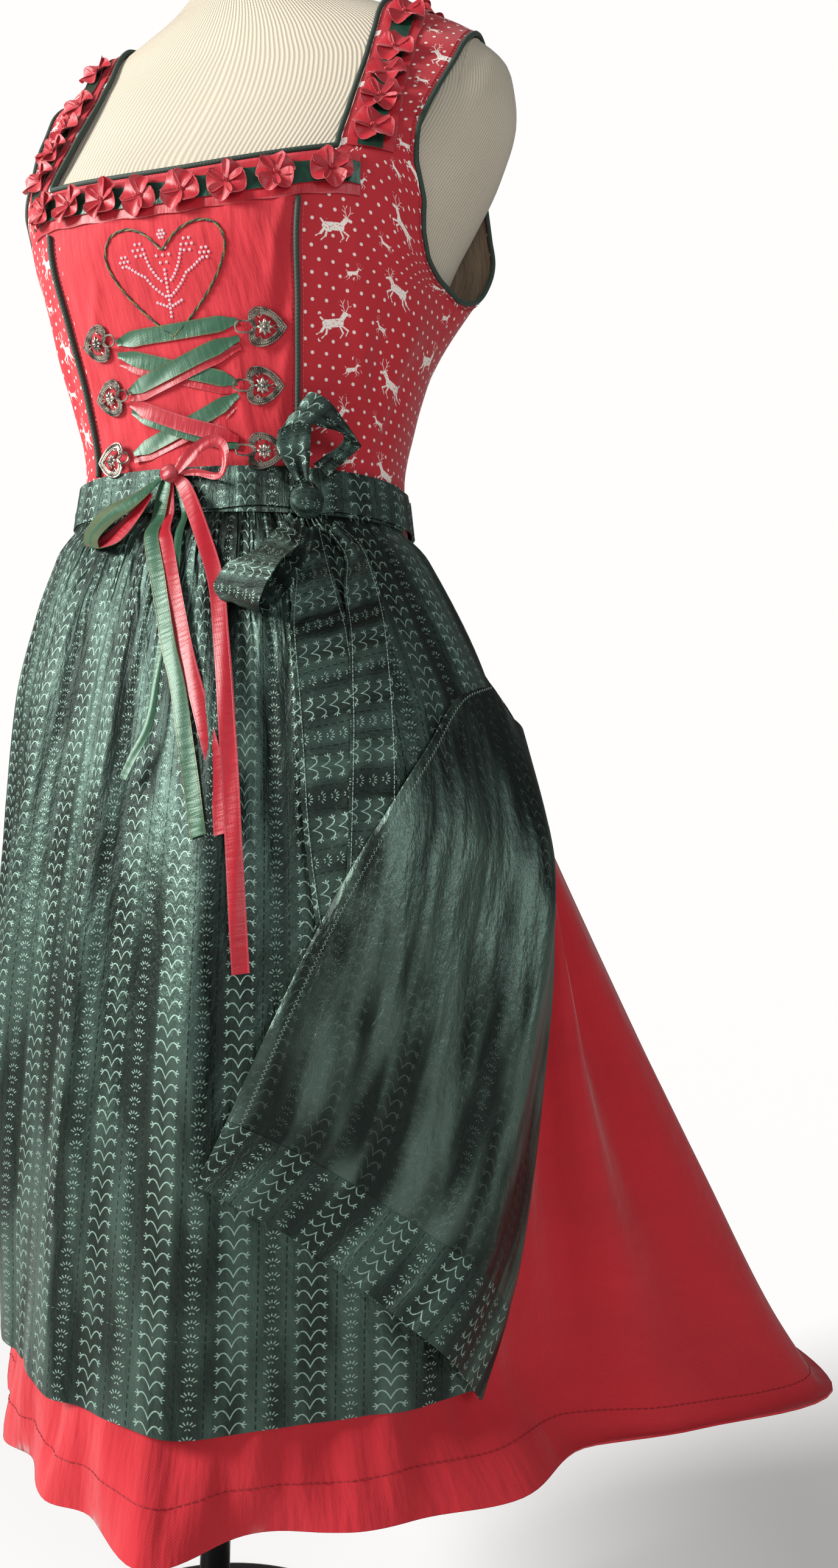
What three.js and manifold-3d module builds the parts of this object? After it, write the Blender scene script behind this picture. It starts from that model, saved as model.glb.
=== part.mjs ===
// Dirndl on a limbless dress form: red printed bodice with a plain laced front panel, a long red skirt pulled out
// to one side, and a dark apron whose free side edge is turned over to the front. Millimetres, +Z up, the front
// faces -Y and the wearer's left is +X. The origin is on the floor, under the middle of the stand's base.
//
// Cloth is a wall round a general figure. A place on the figure is an angle round it (0 at the front, 90 degrees at
// the wearer's left) and a height, or for the shoulder straps a distance from the middle and a turn over the shoulder.
import * as THREE from 'three';
import { mergeVertices } from 'three/addons/utils/BufferGeometryUtils.js';
import Module from 'manifold-3d';

const wasm = await Module();
wasm.setup();

// ---- driving sizes -------------------------------------------------------------------------------------------
const SEAM_GAP = 0.3; // between two pieces that are sewn together or lie on each other
const CLOTH = 1.5; // bodice cloth with its seam allowances
const SKIRT_CLOTH = 1.6;
const APRON_CLOTH = 1.4;
const EASE = 3; // bodice cloth stands this far off the figure
const STRAP_EASE = 1.3; // and rests on it over the shoulders
const WAIST_SEAM_Z = 1036;
const NECK_Z = 1257; // front neckline, at its corners
const NECK_SAG = 14; // and how much lower its middle is
const YOKE_Z = 1290; // back neckline, where the straps are sewn to the back
const NECK_CORNER_X = 122; // inner corner of the square neckline
const CORD_R = 2; // piping
const BAND_TOP_Z = 1039; // apron waistband
const BAND_BOTTOM_Z = 1004;
const BAND_CLOTH = 1.6;
const HEM_Z = 330;
const APRON_HEM_Z = 391;
const RUCHE_WIDTH = 30;
const RUCHE_PITCH = 34; // one pinched box pleat of the neck trim
const SATIN_WIDTH = 11.5; // lacing ribbon
const SATIN = 0.7;
const SASH = 1.2; // apron ties

// ---- colours and finishes ------------------------------------------------------------------------------------
const finish = (color, roughness, metalness = 0) => new THREE.MeshStandardMaterial({ color, roughness, metalness });
const PRINT = finish(0xb3202f, 0.85);
const PLAIN_RED = finish(0xc4242f, 0.9);
const DARK_GREEN = finish(0x24443a, 0.5);
const CORD_GREEN = finish(0x2b4238, 0.6);
const SATIN_RED = finish(0xd0303f, 0.35);
const SATIN_GREEN = finish(0x2f6a4c, 0.35);
const OLD_SILVER = finish(0xb9b4a8, 0.35, 0.9);
const JERSEY = finish(0xd3ccba, 0.9);
const STEEL = finish(0x1d1d1f, 0.4, 0.8);
const BEECH = finish(0xb98d5c, 0.5);

// ---- tables and curves ---------------------------------------------------------------------------------------
const rad = THREE.MathUtils.degToRad;
const lerp = THREE.MathUtils.lerp;
const smooth = THREE.MathUtils.smoothstep;
const vec = (x, y, z) => new THREE.Vector3(x, y, z);

// A table read at any place between its rows: each column runs smoothly and never overshoots its rows.
class Profile {
  constructor(rows, by) {
    this.rows = rows;
    this.by = by;
    this.slopes = {};
    for (const key of Object.keys(rows[0])) this.slopes[key] = this.slopesOf(key);
  }

  slopesOf(key) {
    const step = (i) => (this.rows[i + 1][key] - this.rows[i][key]) / (this.rows[i + 1][this.by] - this.rows[i][this.by]);
    const last = this.rows.length - 1;
    return this.rows.map((_, i) => {
      if (i === 0) return step(0);
      if (i === last) return step(last - 1);
      const [before, after] = [step(i - 1), step(i)];
      return before * after <= 0 ? 0 : (2 * before * after) / (before + after);
    });
  }

  get(key, at) {
    const { rows, by } = this;
    const last = rows.length - 1;
    if (at <= rows[0][by]) return rows[0][key];
    if (at >= rows[last][by]) return rows[last][key];
    let i = 0;
    while (rows[i + 1][by] < at) i += 1;
    const span = rows[i + 1][by] - rows[i][by];
    const t = (at - rows[i][by]) / span;
    const [a, b] = [rows[i][key], rows[i + 1][key]];
    const [ma, mb] = [this.slopes[key][i] * span, this.slopes[key][i + 1] * span];
    return a + t * (ma + t * (3 * (b - a) - 2 * ma - mb + t * (2 * (a - b) + ma + mb)));
  }
}

const steps = (n) => Array.from({ length: n + 1 }, (_, i) => i / n);
const signedPower = (value, power) => Math.sign(value) * Math.abs(value) ** power;

// ---- the figure ----------------------------------------------------------------------------------------------
// half: half width. front and back: depth before and behind mid. square: 2 is an ellipse, more is squarer.
const FIGURE = new Profile([
  { z: 800, half: 106, front: 68, back: 74, mid: 0, square: 2.1 },
  { z: 812, half: 128, front: 86, back: 94, mid: 0, square: 2.1 },
  { z: 840, half: 140, front: 95, back: 105, mid: 0, square: 2.1 },
  { z: 880, half: 145, front: 99, back: 111, mid: 0, square: 2.1 },
  { z: 930, half: 144, front: 99, back: 111, mid: 0, square: 2.2 },
  { z: 1000, half: 134, front: 93, back: 101, mid: 0, square: 2.3 },
  { z: 1050, half: 130, front: 90, back: 96, mid: 0, square: 2.3 },
  { z: 1100, half: 139, front: 100, back: 98, mid: 0, square: 2.3 },
  { z: 1150, half: 152, front: 115, back: 103, mid: 0, square: 2.4 },
  { z: 1200, half: 164, front: 131, back: 108, mid: 0, square: 2.4 },
  { z: 1225, half: 173, front: 132, back: 109, mid: 2, square: 2.4 },
  { z: 1257, half: 190, front: 122, back: 108, mid: 5, square: 2.4 },
  { z: 1290, half: 207, front: 105, back: 103, mid: 10, square: 2.3 },
  { z: 1330, half: 218, front: 84, back: 93, mid: 15, square: 2.2 },
  { z: 1362, half: 213, front: 69, back: 80, mid: 18, square: 2.1 },
  { z: 1392, half: 186, front: 58, back: 68, mid: 20, square: 2 },
  { z: 1417, half: 138, front: 53, back: 60, mid: 20, square: 2 },
  { z: 1438, half: 86, front: 52, back: 56, mid: 18, square: 2 },
  { z: 1460, half: 60, front: 51, back: 53, mid: 16, square: 2 },
  { z: 1510, half: 54, front: 50, back: 50, mid: 14, square: 2 },
], 'z');

const figureAt = (z) => ({
  half: FIGURE.get('half', z), front: FIGURE.get('front', z), back: FIGURE.get('back', z),
  mid: FIGURE.get('mid', z), square: FIGURE.get('square', z),
});

// Below 0 inside the figure, above 0 outside it.
function beyondFigure(p) {
  const f = figureAt(p.z);
  const deep = p.y < f.mid ? f.front : f.back;
  return (Math.abs(p.x) / f.half) ** f.square + (Math.abs(p.y - f.mid) / deep) ** f.square - 1;
}

// Where a ray that starts inside the figure leaves it.
function leaveFigure(start, direction) {
  let [near, far] = [0, 420];
  for (let i = 0; i < 40; i += 1) {
    const middle = (near + far) / 2;
    if (beyondFigure(start.clone().addScaledVector(direction, middle)) < 0) near = middle;
    else far = middle;
  }
  return start.clone().addScaledVector(direction, (near + far) / 2);
}

// The figure's outward direction at a point of its surface.
function outward(p) {
  const d = 0.5;
  const slope = (x, y, z) => beyondFigure(vec(p.x + x, p.y + y, p.z + z)) - beyondFigure(vec(p.x - x, p.y - y, p.z - z));
  return vec(slope(d, 0, 0), slope(0, d, 0), slope(0, 0, d)).normalize();
}

function figurePoint(angle, z) {
  const f = figureAt(z);
  const [s, c] = [Math.sin(angle), Math.cos(angle)];
  const deep = c > 0 ? f.front : f.back;
  return vec(f.half * signedPower(s, 2 / f.square), f.mid - deep * signedPower(c, 2 / f.square), z);
}

// The angle at which the figure's front has a given distance from the middle.
function angleOf(x, z) {
  const f = figureAt(z);
  return Math.sign(x) * Math.asin(Math.min(1, Math.abs(x) / f.half) ** (f.square / 2));
}

// A place on cloth: a point of its outer face and the way out of the cloth there.
const place = (p, n, out) => ({ p: p.clone().addScaledVector(n, out), n });

function onFigure(angle, z, out) {
  const p = figurePoint(angle, z);
  return place(p, outward(p), out);
}

function overShoulder(x, turn, out) {
  const start = vec(x, FIGURE.get('mid', YOKE_Z), YOKE_Z);
  const p = leaveFigure(start, vec(0, -Math.cos(turn), Math.sin(turn)));
  return place(p, outward(p), out);
}

// ---- making solids -------------------------------------------------------------------------------------------
function geometryOf(points, faces) {
  const g = new THREE.BufferGeometry();
  g.setAttribute('position', new THREE.Float32BufferAttribute(points.flatMap((p) => [p.x, p.y, p.z]), 3));
  g.setIndex(faces.flat());
  return g;
}

// Triangles between two rows of a net, which may have different numbers of points, each spread evenly.
function strip(lower, upper) {
  const faces = [];
  const [m, n] = [lower.length - 1, upper.length - 1];
  let [i, j] = [0, 0];
  while (i < m || j < n) {
    if (j === n || (i < m && (i + 1) * n <= (j + 1) * m)) {
      faces.push([lower[i], lower[i + 1], upper[j]]);
      i += 1;
    } else {
      faces.push([lower[i], upper[j + 1], upper[j]]);
      j += 1;
    }
  }
  return faces.filter(([a, b, c]) => a !== b && b !== c && c !== a);
}

// One closed wall of cloth from nets of places: nets that meet in the same places are joined there, and the cloth's
// thickness lies behind the places. A net whose rows end where they start runs right round.
function cloth(nets, thickness) {
  const numbers = new Map();
  const places = [];
  const numberOf = (spot) => {
    const key = spot.p.toArray().map((v) => Math.round(v * 1000)).join();
    if (!numbers.has(key)) numbers.set(key, places.push(spot) - 1);
    return numbers.get(key);
  };
  const faces = [];
  for (const rows of nets) {
    const net = rows.map((row) => row.map(numberOf));
    const part = net.slice(1).flatMap((row, i) => strip(net[i], row));
    const [a, b, c] = part[Math.floor(part.length / 2)].map((k) => places[k]);
    const ahead = b.p.clone().sub(a.p).cross(c.p.clone().sub(a.p)).dot(a.n) > 0;
    faces.push(...(ahead ? part : part.map(([i, j, k]) => [i, k, j])));
  }
  const count = places.length;
  const once = new Map();
  for (const face of faces) {
    face.forEach((from, k) => {
      const to = face[(k + 1) % 3];
      if (!once.delete(`${to},${from}`)) once.set(`${from},${to}`, [from, to]);
    });
  }
  const rims = [...once.values()].flatMap(([from, to]) => [[to, from, from + count], [to, from + count, to + count]]);
  const behind = faces.map(([i, j, k]) => [i + count, k + count, j + count]);
  const points = [...places.map(({ p }) => p), ...places.map(({ p, n }) => p.clone().addScaledVector(n, -thickness))];
  return geometryOf(points, [...faces, ...behind, ...rims]);
}

function signedVolume(geometry) {
  const position = geometry.getAttribute('position');
  const index = geometry.index;
  const corner = (k) => vec().fromBufferAttribute(position, index.getX(k));
  let total = 0;
  for (let k = 0; k < index.count; k += 3) total += corner(k).dot(corner(k + 1).cross(corner(k + 2)));
  return total / 6;
}

function facingOut(geometry) {
  if (signedVolume(geometry) < 0) geometry.index.array.reverse();
  return geometry;
}

// A solid in rings from bottom to top, closed by a flat face at each end.
function lofted(rings) {
  const count = rings[0].length;
  const points = rings.flat();
  const around = (k) => Array.from({ length: count + 1 }, (_, j) => k * count + (j % count));
  const faces = rings.slice(1).flatMap((_, i) => strip(around(i), around(i + 1)));
  for (const k of [0, rings.length - 1]) {
    const hub = points.push(rings[k].reduce((sum, p) => sum.add(p), vec(0, 0, 0)).divideScalar(count)) - 1;
    const rim = around(k);
    for (let j = 0; j < count; j += 1) faces.push(k === 0 ? [hub, rim[j + 1], rim[j]] : [hub, rim[j], rim[j + 1]]);
  }
  return facingOut(geometryOf(points, faces));
}

function solidOf(geometry) {
  const bare = new THREE.BufferGeometry().setAttribute('position', geometry.getAttribute('position').clone());
  bare.setIndex(geometry.index);
  const merged = mergeVertices(bare.index ? bare.toNonIndexed() : bare, 1e-3);
  return new wasm.Manifold(new wasm.Mesh({
    numProp: 3, vertProperties: merged.getAttribute('position').array, triVerts: new Uint32Array(merged.index.array),
  }));
}

function geometryOfSolid(solid) {
  const mesh = solid.getMesh();
  const g = new THREE.BufferGeometry();
  g.setAttribute('position', new THREE.BufferAttribute(new Float32Array(mesh.vertProperties), 3));
  g.setIndex(new THREE.BufferAttribute(new Uint32Array(mesh.triVerts), 1));
  return g;
}

// The way along a line of points at one of them, and how much its corner there stretches a line beside it.
function alongAt(points, i) {
  const before = i > 0 ? points[i].clone().sub(points[i - 1]).normalize() : null;
  const after = i + 1 < points.length ? points[i + 1].clone().sub(points[i]).normalize() : null;
  const along = (before ?? after).clone().add(after ?? before).normalize();
  return { along, stretch: 1 / Math.max(0.5, along.dot(before ?? after)) };
}

// A round cord whose middle runs through places, as far to their side and as far out as given.
function cord(places, radius, { side = 0, out = 0, sides = 5 } = {}) {
  const points = places.map(({ p }) => p);
  return lofted(places.map(({ p, n }, i) => {
    const { along, stretch } = alongAt(points, i);
    const across = along.clone().cross(n).normalize();
    const up = across.clone().cross(along);
    const middle = p.clone().addScaledVector(across, side * stretch).addScaledVector(n, out);
    return steps(sides).slice(0, -1).map((t) => {
      const turn = 2 * Math.PI * t;
      return middle.clone().addScaledVector(across, radius * stretch * Math.cos(turn)).addScaledVector(up, radius * Math.sin(turn));
    });
  }));
}

// A ribbon whose outer face has its middle on the places; width may change from end to end.
function ribbon(places, width, thickness, columns = 2) {
  const points = places.map(({ p }) => p);
  const last = places.length - 1;
  return cloth([places.map(({ p, n }, i) => {
    const across = alongAt(points, i).along.clone().cross(n).normalize();
    const wide = typeof width === 'function' ? width(i / last) : width;
    return steps(columns).map((t) => ({ p: p.clone().addScaledVector(across, wide * (t - 0.5)), n }));
  })], thickness);
}

const root = new THREE.Group();

function add(name, geometry, material) {
  const mesh = new THREE.Mesh(geometry, material);
  mesh.name = name;
  root.add(mesh);
  return mesh;
}

// ---- dress form and stand ------------------------------------------------------------------------------------
const BASE_R = 185;
const BASE_HEIGHT = 9;
const HUB_HEIGHT = 46;
const POLE_R = 12.5;
const PLINTH_TOP_Z = FIGURE.rows[0].z - SEAM_GAP;
const PLINTH_HEIGHT = 16;
const NECK_TOP_Z = FIGURE.rows.at(-1).z;

function turned(profile, segments) {
  const outline = profile.map(([r, z]) => new THREE.Vector2(r, z));
  return new THREE.LatheGeometry(outline, segments).rotateX(Math.PI / 2);
}

function addStand() {
  add('stand_base', turned([[0, 0], [BASE_R, 0], [BASE_R, BASE_HEIGHT - 4], [BASE_R - 5, BASE_HEIGHT], [26, BASE_HEIGHT],
    [20, BASE_HEIGHT + 10], [18, HUB_HEIGHT], [0, HUB_HEIGHT]], 32), STEEL);
  const poleTop = PLINTH_TOP_Z - PLINTH_HEIGHT - SEAM_GAP;
  const low = HUB_HEIGHT + SEAM_GAP;
  add('stand_pole', turned([[0, low], [POLE_R, low], [POLE_R, poleTop], [0, poleTop]], 16), STEEL);
  const plinth = new THREE.CylinderGeometry(62, 62, PLINTH_HEIGHT, 24).rotateX(Math.PI / 2);
  add('form_plinth', plinth.translate(0, 0, PLINTH_TOP_Z - PLINTH_HEIGHT / 2), BEECH);
  const cap = [[0, 0], [50, 0], [50, 8], [18, 13], [12, 22], [17, 32], [12, 43], [0, 46]];
  const neckMid = FIGURE.get('mid', NECK_TOP_Z);
  add('form_neck_cap', turned(cap, 20).translate(0, neckMid, NECK_TOP_Z + SEAM_GAP), BEECH);
}

function addForm() {
  const heights = [800, 806, 815, 832, 862, 905, 955, 1005, 1050, 1095, 1140, 1180, 1212, 1238, 1263, 1290, 1315, 1338, 1358,
    1376, 1392, 1405, 1417, 1428, 1440, 1460, 1510];
  const count = 26;
  add('form_torso', lofted(heights.map((z) => steps(count).slice(0, -1).map((t) => figurePoint(2 * Math.PI * t, z)))), JERSEY);
}

// ---- bodice --------------------------------------------------------------------------------------------------
const SIDE_SEAM = rad(97);

// Half width of the plain front panel at its piped seams, and how far off the figure's middle it sits.
const FRONT_PANEL = new Profile([
  { z: 1036, half: 83, mid: -1 },
  { z: 1100, half: 89, mid: -2 },
  { z: 1160, half: 97, mid: -3 },
  { z: 1220, half: 104, mid: -5 },
  { z: 1257, half: 106, mid: -5 },
], 'z');

const seamX = (side, z) => side * FRONT_PANEL.get('half', z) + FRONT_PANEL.get('mid', z);
const neckZ = (x) => NECK_Z - NECK_SAG * Math.max(0, 1 - (x / NECK_CORNER_X) ** 2);

// The strap from the front (turn 0) over the shoulder (90) to the back yoke (180): its edges from the middle.
const STRAP = new Profile([
  { turn: 0, inner: 122, outer: 166 },
  { turn: 45, inner: 121, outer: 176 },
  { turn: 90, inner: 119, outer: 184 },
  { turn: 135, inner: 119, outer: 180 },
  { turn: 180, inner: 119, outer: 174 },
], 'turn');
const STRAP_TURNS = [0, 16, 30, 42, 52, 60, 67, 73, 79, 85, 90.5, 96, 102, 108, 115, 124, 136, 150, 165, 180];
const ARMHOLE_X = 165; // where the armhole crosses the height of the front neckline

// Rows of the side front: the height at its inner edge, then its outer edge up the side seam and round the armhole.
const SIDE_FRONT = [
  { inner: 1036.3, outer: 1036.3, edge: 97 },
  { inner: 1060, outer: 1064, edge: 97 },
  { inner: 1086, outer: 1096, edge: 97 },
  { inner: 1112, outer: 1126, edge: 97 },
  { inner: 1136, outer: 1160, edge: 97 },
  { inner: 1158, outer: 1192, edge: 97 },
  { inner: 1178, outer: 1195, edge: 88 },
  { inner: 1197, outer: 1203, edge: 79.5 },
  { inner: 1214, outer: 1217, edge: 73 },
  { inner: 1231, outer: 1236, edge: 67.5 },
];

// Rows of the back: the height and how far round the armhole edge is.
const BACK = [
  { z: 1036.3, edge: 97.2 },
  { z: 1064, edge: 97.2 },
  { z: 1096, edge: 97.2 },
  { z: 1126, edge: 97.2 },
  { z: 1160, edge: 97.2 },
  { z: 1192, edge: 97.2 },
  { z: 1195, edge: 102 },
  { z: 1203, edge: 107 },
  { z: 1217, edge: 110.5 },
  { z: 1237, edge: 113.5 },
  { z: 1260, edge: 119 },
  { z: 1289.7, edge: 125 },
];
const BACK_COLUMNS = 16;

// The back of the armhole gapes: the cloth there stands further off the figure.
const GAPE = { deep: 26, at: rad(108), wide: rad(26), low: 1130, high: 1235, top: 1300 };

function bodiceEase(angle, z) {
  const round = Math.max(0, 1 - Math.abs(Math.abs(angle) - GAPE.at) / GAPE.wide);
  const up = smooth(z, GAPE.low, GAPE.high) * (1 - smooth(z, GAPE.high + 10, GAPE.top));
  return EASE + CLOTH + GAPE.deep * round * round * (3 - 2 * round) * up;
}

const strapEase = (turn) => {
  const onTop = smooth(turn, 15, 60) * (1 - smooth(turn, 125, 172));
  return CLOTH + lerp(EASE, STRAP_EASE, onTop);
};

const onBodice = (angle, z, out = 0) => onFigure(angle, z, bodiceEase(angle, z) + out);
const onFront = (x, z, out = 0) => onBodice(angleOf(x, z), z, out);
const onStrap = (x, turn, out = 0) => overShoulder(x, rad(turn), strapEase(turn) + out);
const mirrored = ({ p, n }) => ({ p: vec(-p.x, p.y, p.z), n: vec(-n.x, n.y, n.z) });

const NECK_ROW_X = [NECK_CORNER_X, 128, 134, 140, 146, 152, 158, ARMHOLE_X];
const FRONT_COLUMNS = 8;
const FRONT_HEIGHTS = [1036.3, 1062, 1090, 1116, 1142, 1167, 1192, 1212, 1232];

function sideFront(side) {
  const toSide = (spot) => (side > 0 ? spot : mirrored(spot));
  const seam = (z) => angleOf(Math.abs(seamX(side, z)) + SEAM_GAP / 2, z);
  const lower = SIDE_FRONT.map(({ inner, outer, edge }) => (
    steps(NECK_ROW_X.length).map((t) => onBodice(lerp(seam(inner), rad(edge), t), lerp(inner, outer, t)))));
  const top = NECK_ROW_X.map((x) => onFront(x, NECK_Z));
  const atSeam = Math.abs(seamX(side, NECK_Z)) + SEAM_GAP / 2;
  lower.push([onFront(atSeam, neckZ(atSeam)), ...top]);
  const over = STRAP_TURNS.map((turn) => (
    steps(3).map((t) => onStrap(lerp(STRAP.get('inner', turn), STRAP.get('outer', turn), t), turn))));
  return [lower, [top, ...over]].map((net) => net.map((row) => row.map(toSide)));
}

function frontRow(z, upTo = SEAM_GAP / 2) {
  const [from, to] = [seamX(-1, z) + upTo, seamX(1, z) - upTo];
  return steps(FRONT_COLUMNS).map((t) => lerp(from, to, t));
}

const backAngles = (edge) => steps(BACK_COLUMNS).map((t) => lerp(rad(edge), 2 * Math.PI - rad(edge), t));

function onBack(angle, z) {
  return onFigure(angle, z, bodiceEase(angle > Math.PI ? 2 * Math.PI - angle : angle, z));
}

function addBodice() {
  const rows = FRONT_HEIGHTS.map((z) => frontRow(z).map((x) => onFront(x, z)));
  rows.push(frontRow(NECK_Z).map((x) => onFront(x, neckZ(x))));
  add('front_panel', cloth([rows], CLOTH), PLAIN_RED);
  add('side_front_left', cloth(sideFront(1), CLOTH), PRINT);
  add('side_front_right', cloth(sideFront(-1), CLOTH), PRINT);
  add('back_panel', cloth([BACK.map(({ z, edge }) => backAngles(edge).map((angle) => onBack(angle, z)))], CLOTH), PRINT);
}

// The edge of the neck opening, all round from the middle of the back over the wearer's left strap.
function neckEdge() {
  const yoke = BACK.at(-1);
  const inner = STRAP.get('inner', 180);
  const back = backAngles(yoke.edge).map((angle) => onBack(angle, yoke.z)).filter(({ p }) => Math.abs(p.x) < inner - 4);
  const [left, right] = [back.filter(({ p }) => p.x > -1).reverse(), back.filter(({ p }) => p.x < -1).reverse()];
  const strap = [...STRAP_TURNS].reverse().map((turn) => onStrap(STRAP.get('inner', turn), turn));
  const corner = onFront(NECK_CORNER_X, NECK_Z);
  const front = frontRow(NECK_Z).map((x) => onFront(x, neckZ(x))).reverse();
  const down = [...strap, corner];
  return [...left, ...down, ...front, ...down.map(mirrored).reverse(), ...right];
}

function armholeEdge() {
  const front = SIDE_FRONT.slice(5).map(({ outer, edge }) => onBodice(rad(edge), outer));
  const back = BACK.slice(6, -1).map(({ z, edge }) => onBodice(rad(edge), z));
  const strap = STRAP_TURNS.map((turn) => onStrap(STRAP.get('outer', turn), turn));
  return [...front, onFront(ARMHOLE_X, NECK_Z), ...strap, ...back.reverse()];
}

const besideCut = { side: CORD_R + 0.5, out: 0 };

function addPiping() {
  add('neck_piping', cord(neckEdge(), CORD_R, besideCut), CORD_GREEN);
  const armhole = armholeEdge();
  add('armhole_piping_left', cord(armhole, CORD_R, besideCut), CORD_GREEN);
  add('armhole_piping_right', cord(armhole.map(mirrored).reverse(), CORD_R, besideCut), CORD_GREEN);
  const heights = [BAND_TOP_Z + 1.5, ...FRONT_HEIGHTS.slice(1, -1), NECK_Z - RUCHE_WIDTH - 9];
  for (const [name, side] of [['left', 1], ['right', -1]]) {
    const seam = heights.map((z) => onFront(seamX(side, z), z));
    add(`seam_piping_${name}`, cord(seam, CORD_R, { out: CORD_R + SEAM_GAP }), CORD_GREEN);
  }
}

// ---- skirt and apron -----------------------------------------------------------------------------------------
// The skirt's outer face, from the stand's middle, by angle and height, without its small folds. It is drawn out
// to the wearer's left, with a straight side from waist to hem there.
const SKIRT_HEIGHTS = [990, 930, 860, 750, 640, 500, 400, 330];
const SKIRT_RADIUS = [
  { angle: -148, r: [127, 147, 161, 175, 186, 200, 212, 222] },
  { angle: -110, r: [139, 156, 167, 175, 180, 184, 186, 194] },
  { angle: -80, r: [140, 156, 166, 172, 176, 173, 162, 163] },
  { angle: -52, r: [129, 149, 163, 169, 174, 170, 159, 160] },
  { angle: -28, r: [114, 136, 154, 169, 180, 185, 179, 185] },
  { angle: -9, r: [107, 129, 148, 169, 184, 196, 202, 213] },
  { angle: 8, r: [109, 133, 154, 180, 198, 214, 224, 245] },
  { angle: 21, r: [114, 140, 165, 193, 211, 227, 238, 279] },
  { angle: 39, r: [122, 152, 180, 208, 224, 234, 240, 256] },
  { angle: 54, r: [131, 166, 202, 234, 246, 250, 252, 288] },
  { angle: 68, r: [140, 178, 215, 249, 260, 263, 263, 308] },
  { angle: 80, r: [147, 186, 223, 260, 272, 277, 283, 326] },
  { angle: 90, r: [149, 186, 222, 261, 290, 328, 360, 396] },
  { angle: 101, r: [148, 180, 212, 266, 322, 396, 450, 499] },
  { angle: 108, r: [146, 178, 211, 260, 314, 384, 436, 482] },
  { angle: 122, r: [138, 162, 190, 230, 270, 322, 358, 384] },
  { angle: 148, r: [122, 144, 164, 193, 218, 250, 272, 286] },
  { angle: 180, r: [118, 140, 157, 177, 193, 212, 224, 233] },
];
const SKIRT_TOP_Z = WAIST_SEAM_Z;
const hemZ = (degrees) => HEM_Z + 16 * Math.exp(-(((degrees - 101) / 22) ** 2)); // pulled up a little at the point
const SKIRT_EASE = 5.2; // outer face at the waist seam, from the figure
const GATHERS_Z = 1006; // the waistband holds the skirt in down to here

function figureRadius(angle, z) {
  const f = figureAt(z);
  const [s, c] = [Math.abs(Math.sin(angle)), Math.cos(angle)];
  const deep = c > 0 ? f.front : f.back;
  return ((s / f.half) ** f.square + (Math.abs(c) / deep) ** f.square) ** (-1 / f.square);
}

const SKIRT_SIDES = SKIRT_RADIUS.map(({ angle, r }) => {
  const rows = SKIRT_HEIGHTS.map((z, k) => ({ z, r: r[k] })).reverse();
  for (const z of [GATHERS_Z, SKIRT_TOP_Z]) rows.push({ z, r: figureRadius(rad(angle), z) + SKIRT_EASE });
  return { angle, side: new Profile(rows, 'z') };
});

function roundSkirt(z) {
  const rows = SKIRT_SIDES.map(({ angle, side }) => ({ angle, r: side.get('r', z) }));
  const before = rows.slice(-3).map(({ angle, r }) => ({ angle: angle - 360, r }));
  const after = rows.slice(0, 3).map(({ angle, r }) => ({ angle: angle + 360, r }));
  const around = new Profile([...before, ...rows, ...after], 'angle');
  const waist = smooth(z, 998, GATHERS_Z);
  return (degrees) => {
    const turn = ((degrees + 180) % 360 + 360) % 360 - 180;
    const r = around.get('r', turn);
    return waist > 0 ? lerp(r, figureRadius(rad(turn), z) + SKIRT_EASE, waist) : r;
  };
}

// Soft folds that fall from the gathers: in and out by 1 at most.
const skirtFold = (degrees) => Math.cos(rad(16 * degrees + 46 * Math.sin(rad(3 * degrees + 20))));
const apronFold = (degrees) => Math.cos(rad(26 * degrees + 60 * Math.sin(rad(5 * degrees))));

function skirtFoldDepth(turned, z) {
  const degrees = turned > 180 ? turned - 360 : turned;
  const covered = 1 - 0.8 * smooth(z, APRON_HEM_Z - 60, APRON_HEM_Z) * (1 - smooth(Math.abs(degrees + 5), 80, 105));
  const stretched = 1 - 0.75 * Math.exp(-(((degrees - 101) / 22) ** 2));
  return lerp(1, 7, 1 - smooth(z, 640, SKIRT_TOP_Z)) * covered * stretched;
}

const polar = (degrees, r, z) => vec(r * Math.sin(rad(degrees)), -r * Math.cos(rad(degrees)), z);

function addSkirt() {
  const heights = [HEM_Z, 385, 460, 550, 650, 745, 835, 910, 965, 1005, SKIRT_TOP_Z];
  const columns = 76;
  const rows = heights.map((z) => {
    const radius = roundSkirt(z);
    const row = steps(columns).slice(0, -1).map((t) => {
      const degrees = 360 * t;
      const r = radius(degrees) + skirtFoldDepth(degrees, z) * skirtFold(degrees);
      return { p: polar(degrees, r, Math.max(z, hemZ(degrees))), n: polar(degrees, 1, 0) };
    });
    return [...row, row[0]];
  });
  add('skirt', cloth([rows], SKIRT_CLOTH), PLAIN_RED);
}

// The apron lies on the skirt. The side edge at the wearer's left is turned over to the front along a fold.
const APRON_STAND = 10; // outer face beyond the skirt's, both without their folds
const APRON_RIGHT = -88; // its other side edge
const APRON_TOP_Z = BAND_BOTTOM_Z - SEAM_GAP;
const FOLD = new Profile([
  { z: 391, angle: 66.5 },
  { z: 470, angle: 73 },
  { z: 540, angle: 76 },
  { z: 604, angle: 78 },
  { z: 672, angle: 80 },
  { z: 760, angle: 82 },
  { z: 858, angle: 86 },
  { z: 905, angle: 88 },
  { z: 962, angle: 90 },
  { z: 1004, angle: 88 },
], 'z');
const APRON_HEIGHTS = [APRON_HEM_Z, 450, 515, 590, 665, 740, 805, 845, 868, 890, 915, 955, 985, APRON_TOP_Z];
const APRON_CREST = 3; // its folds stand out this far at most
const CURL = 6; // radius of the turned edge

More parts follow.
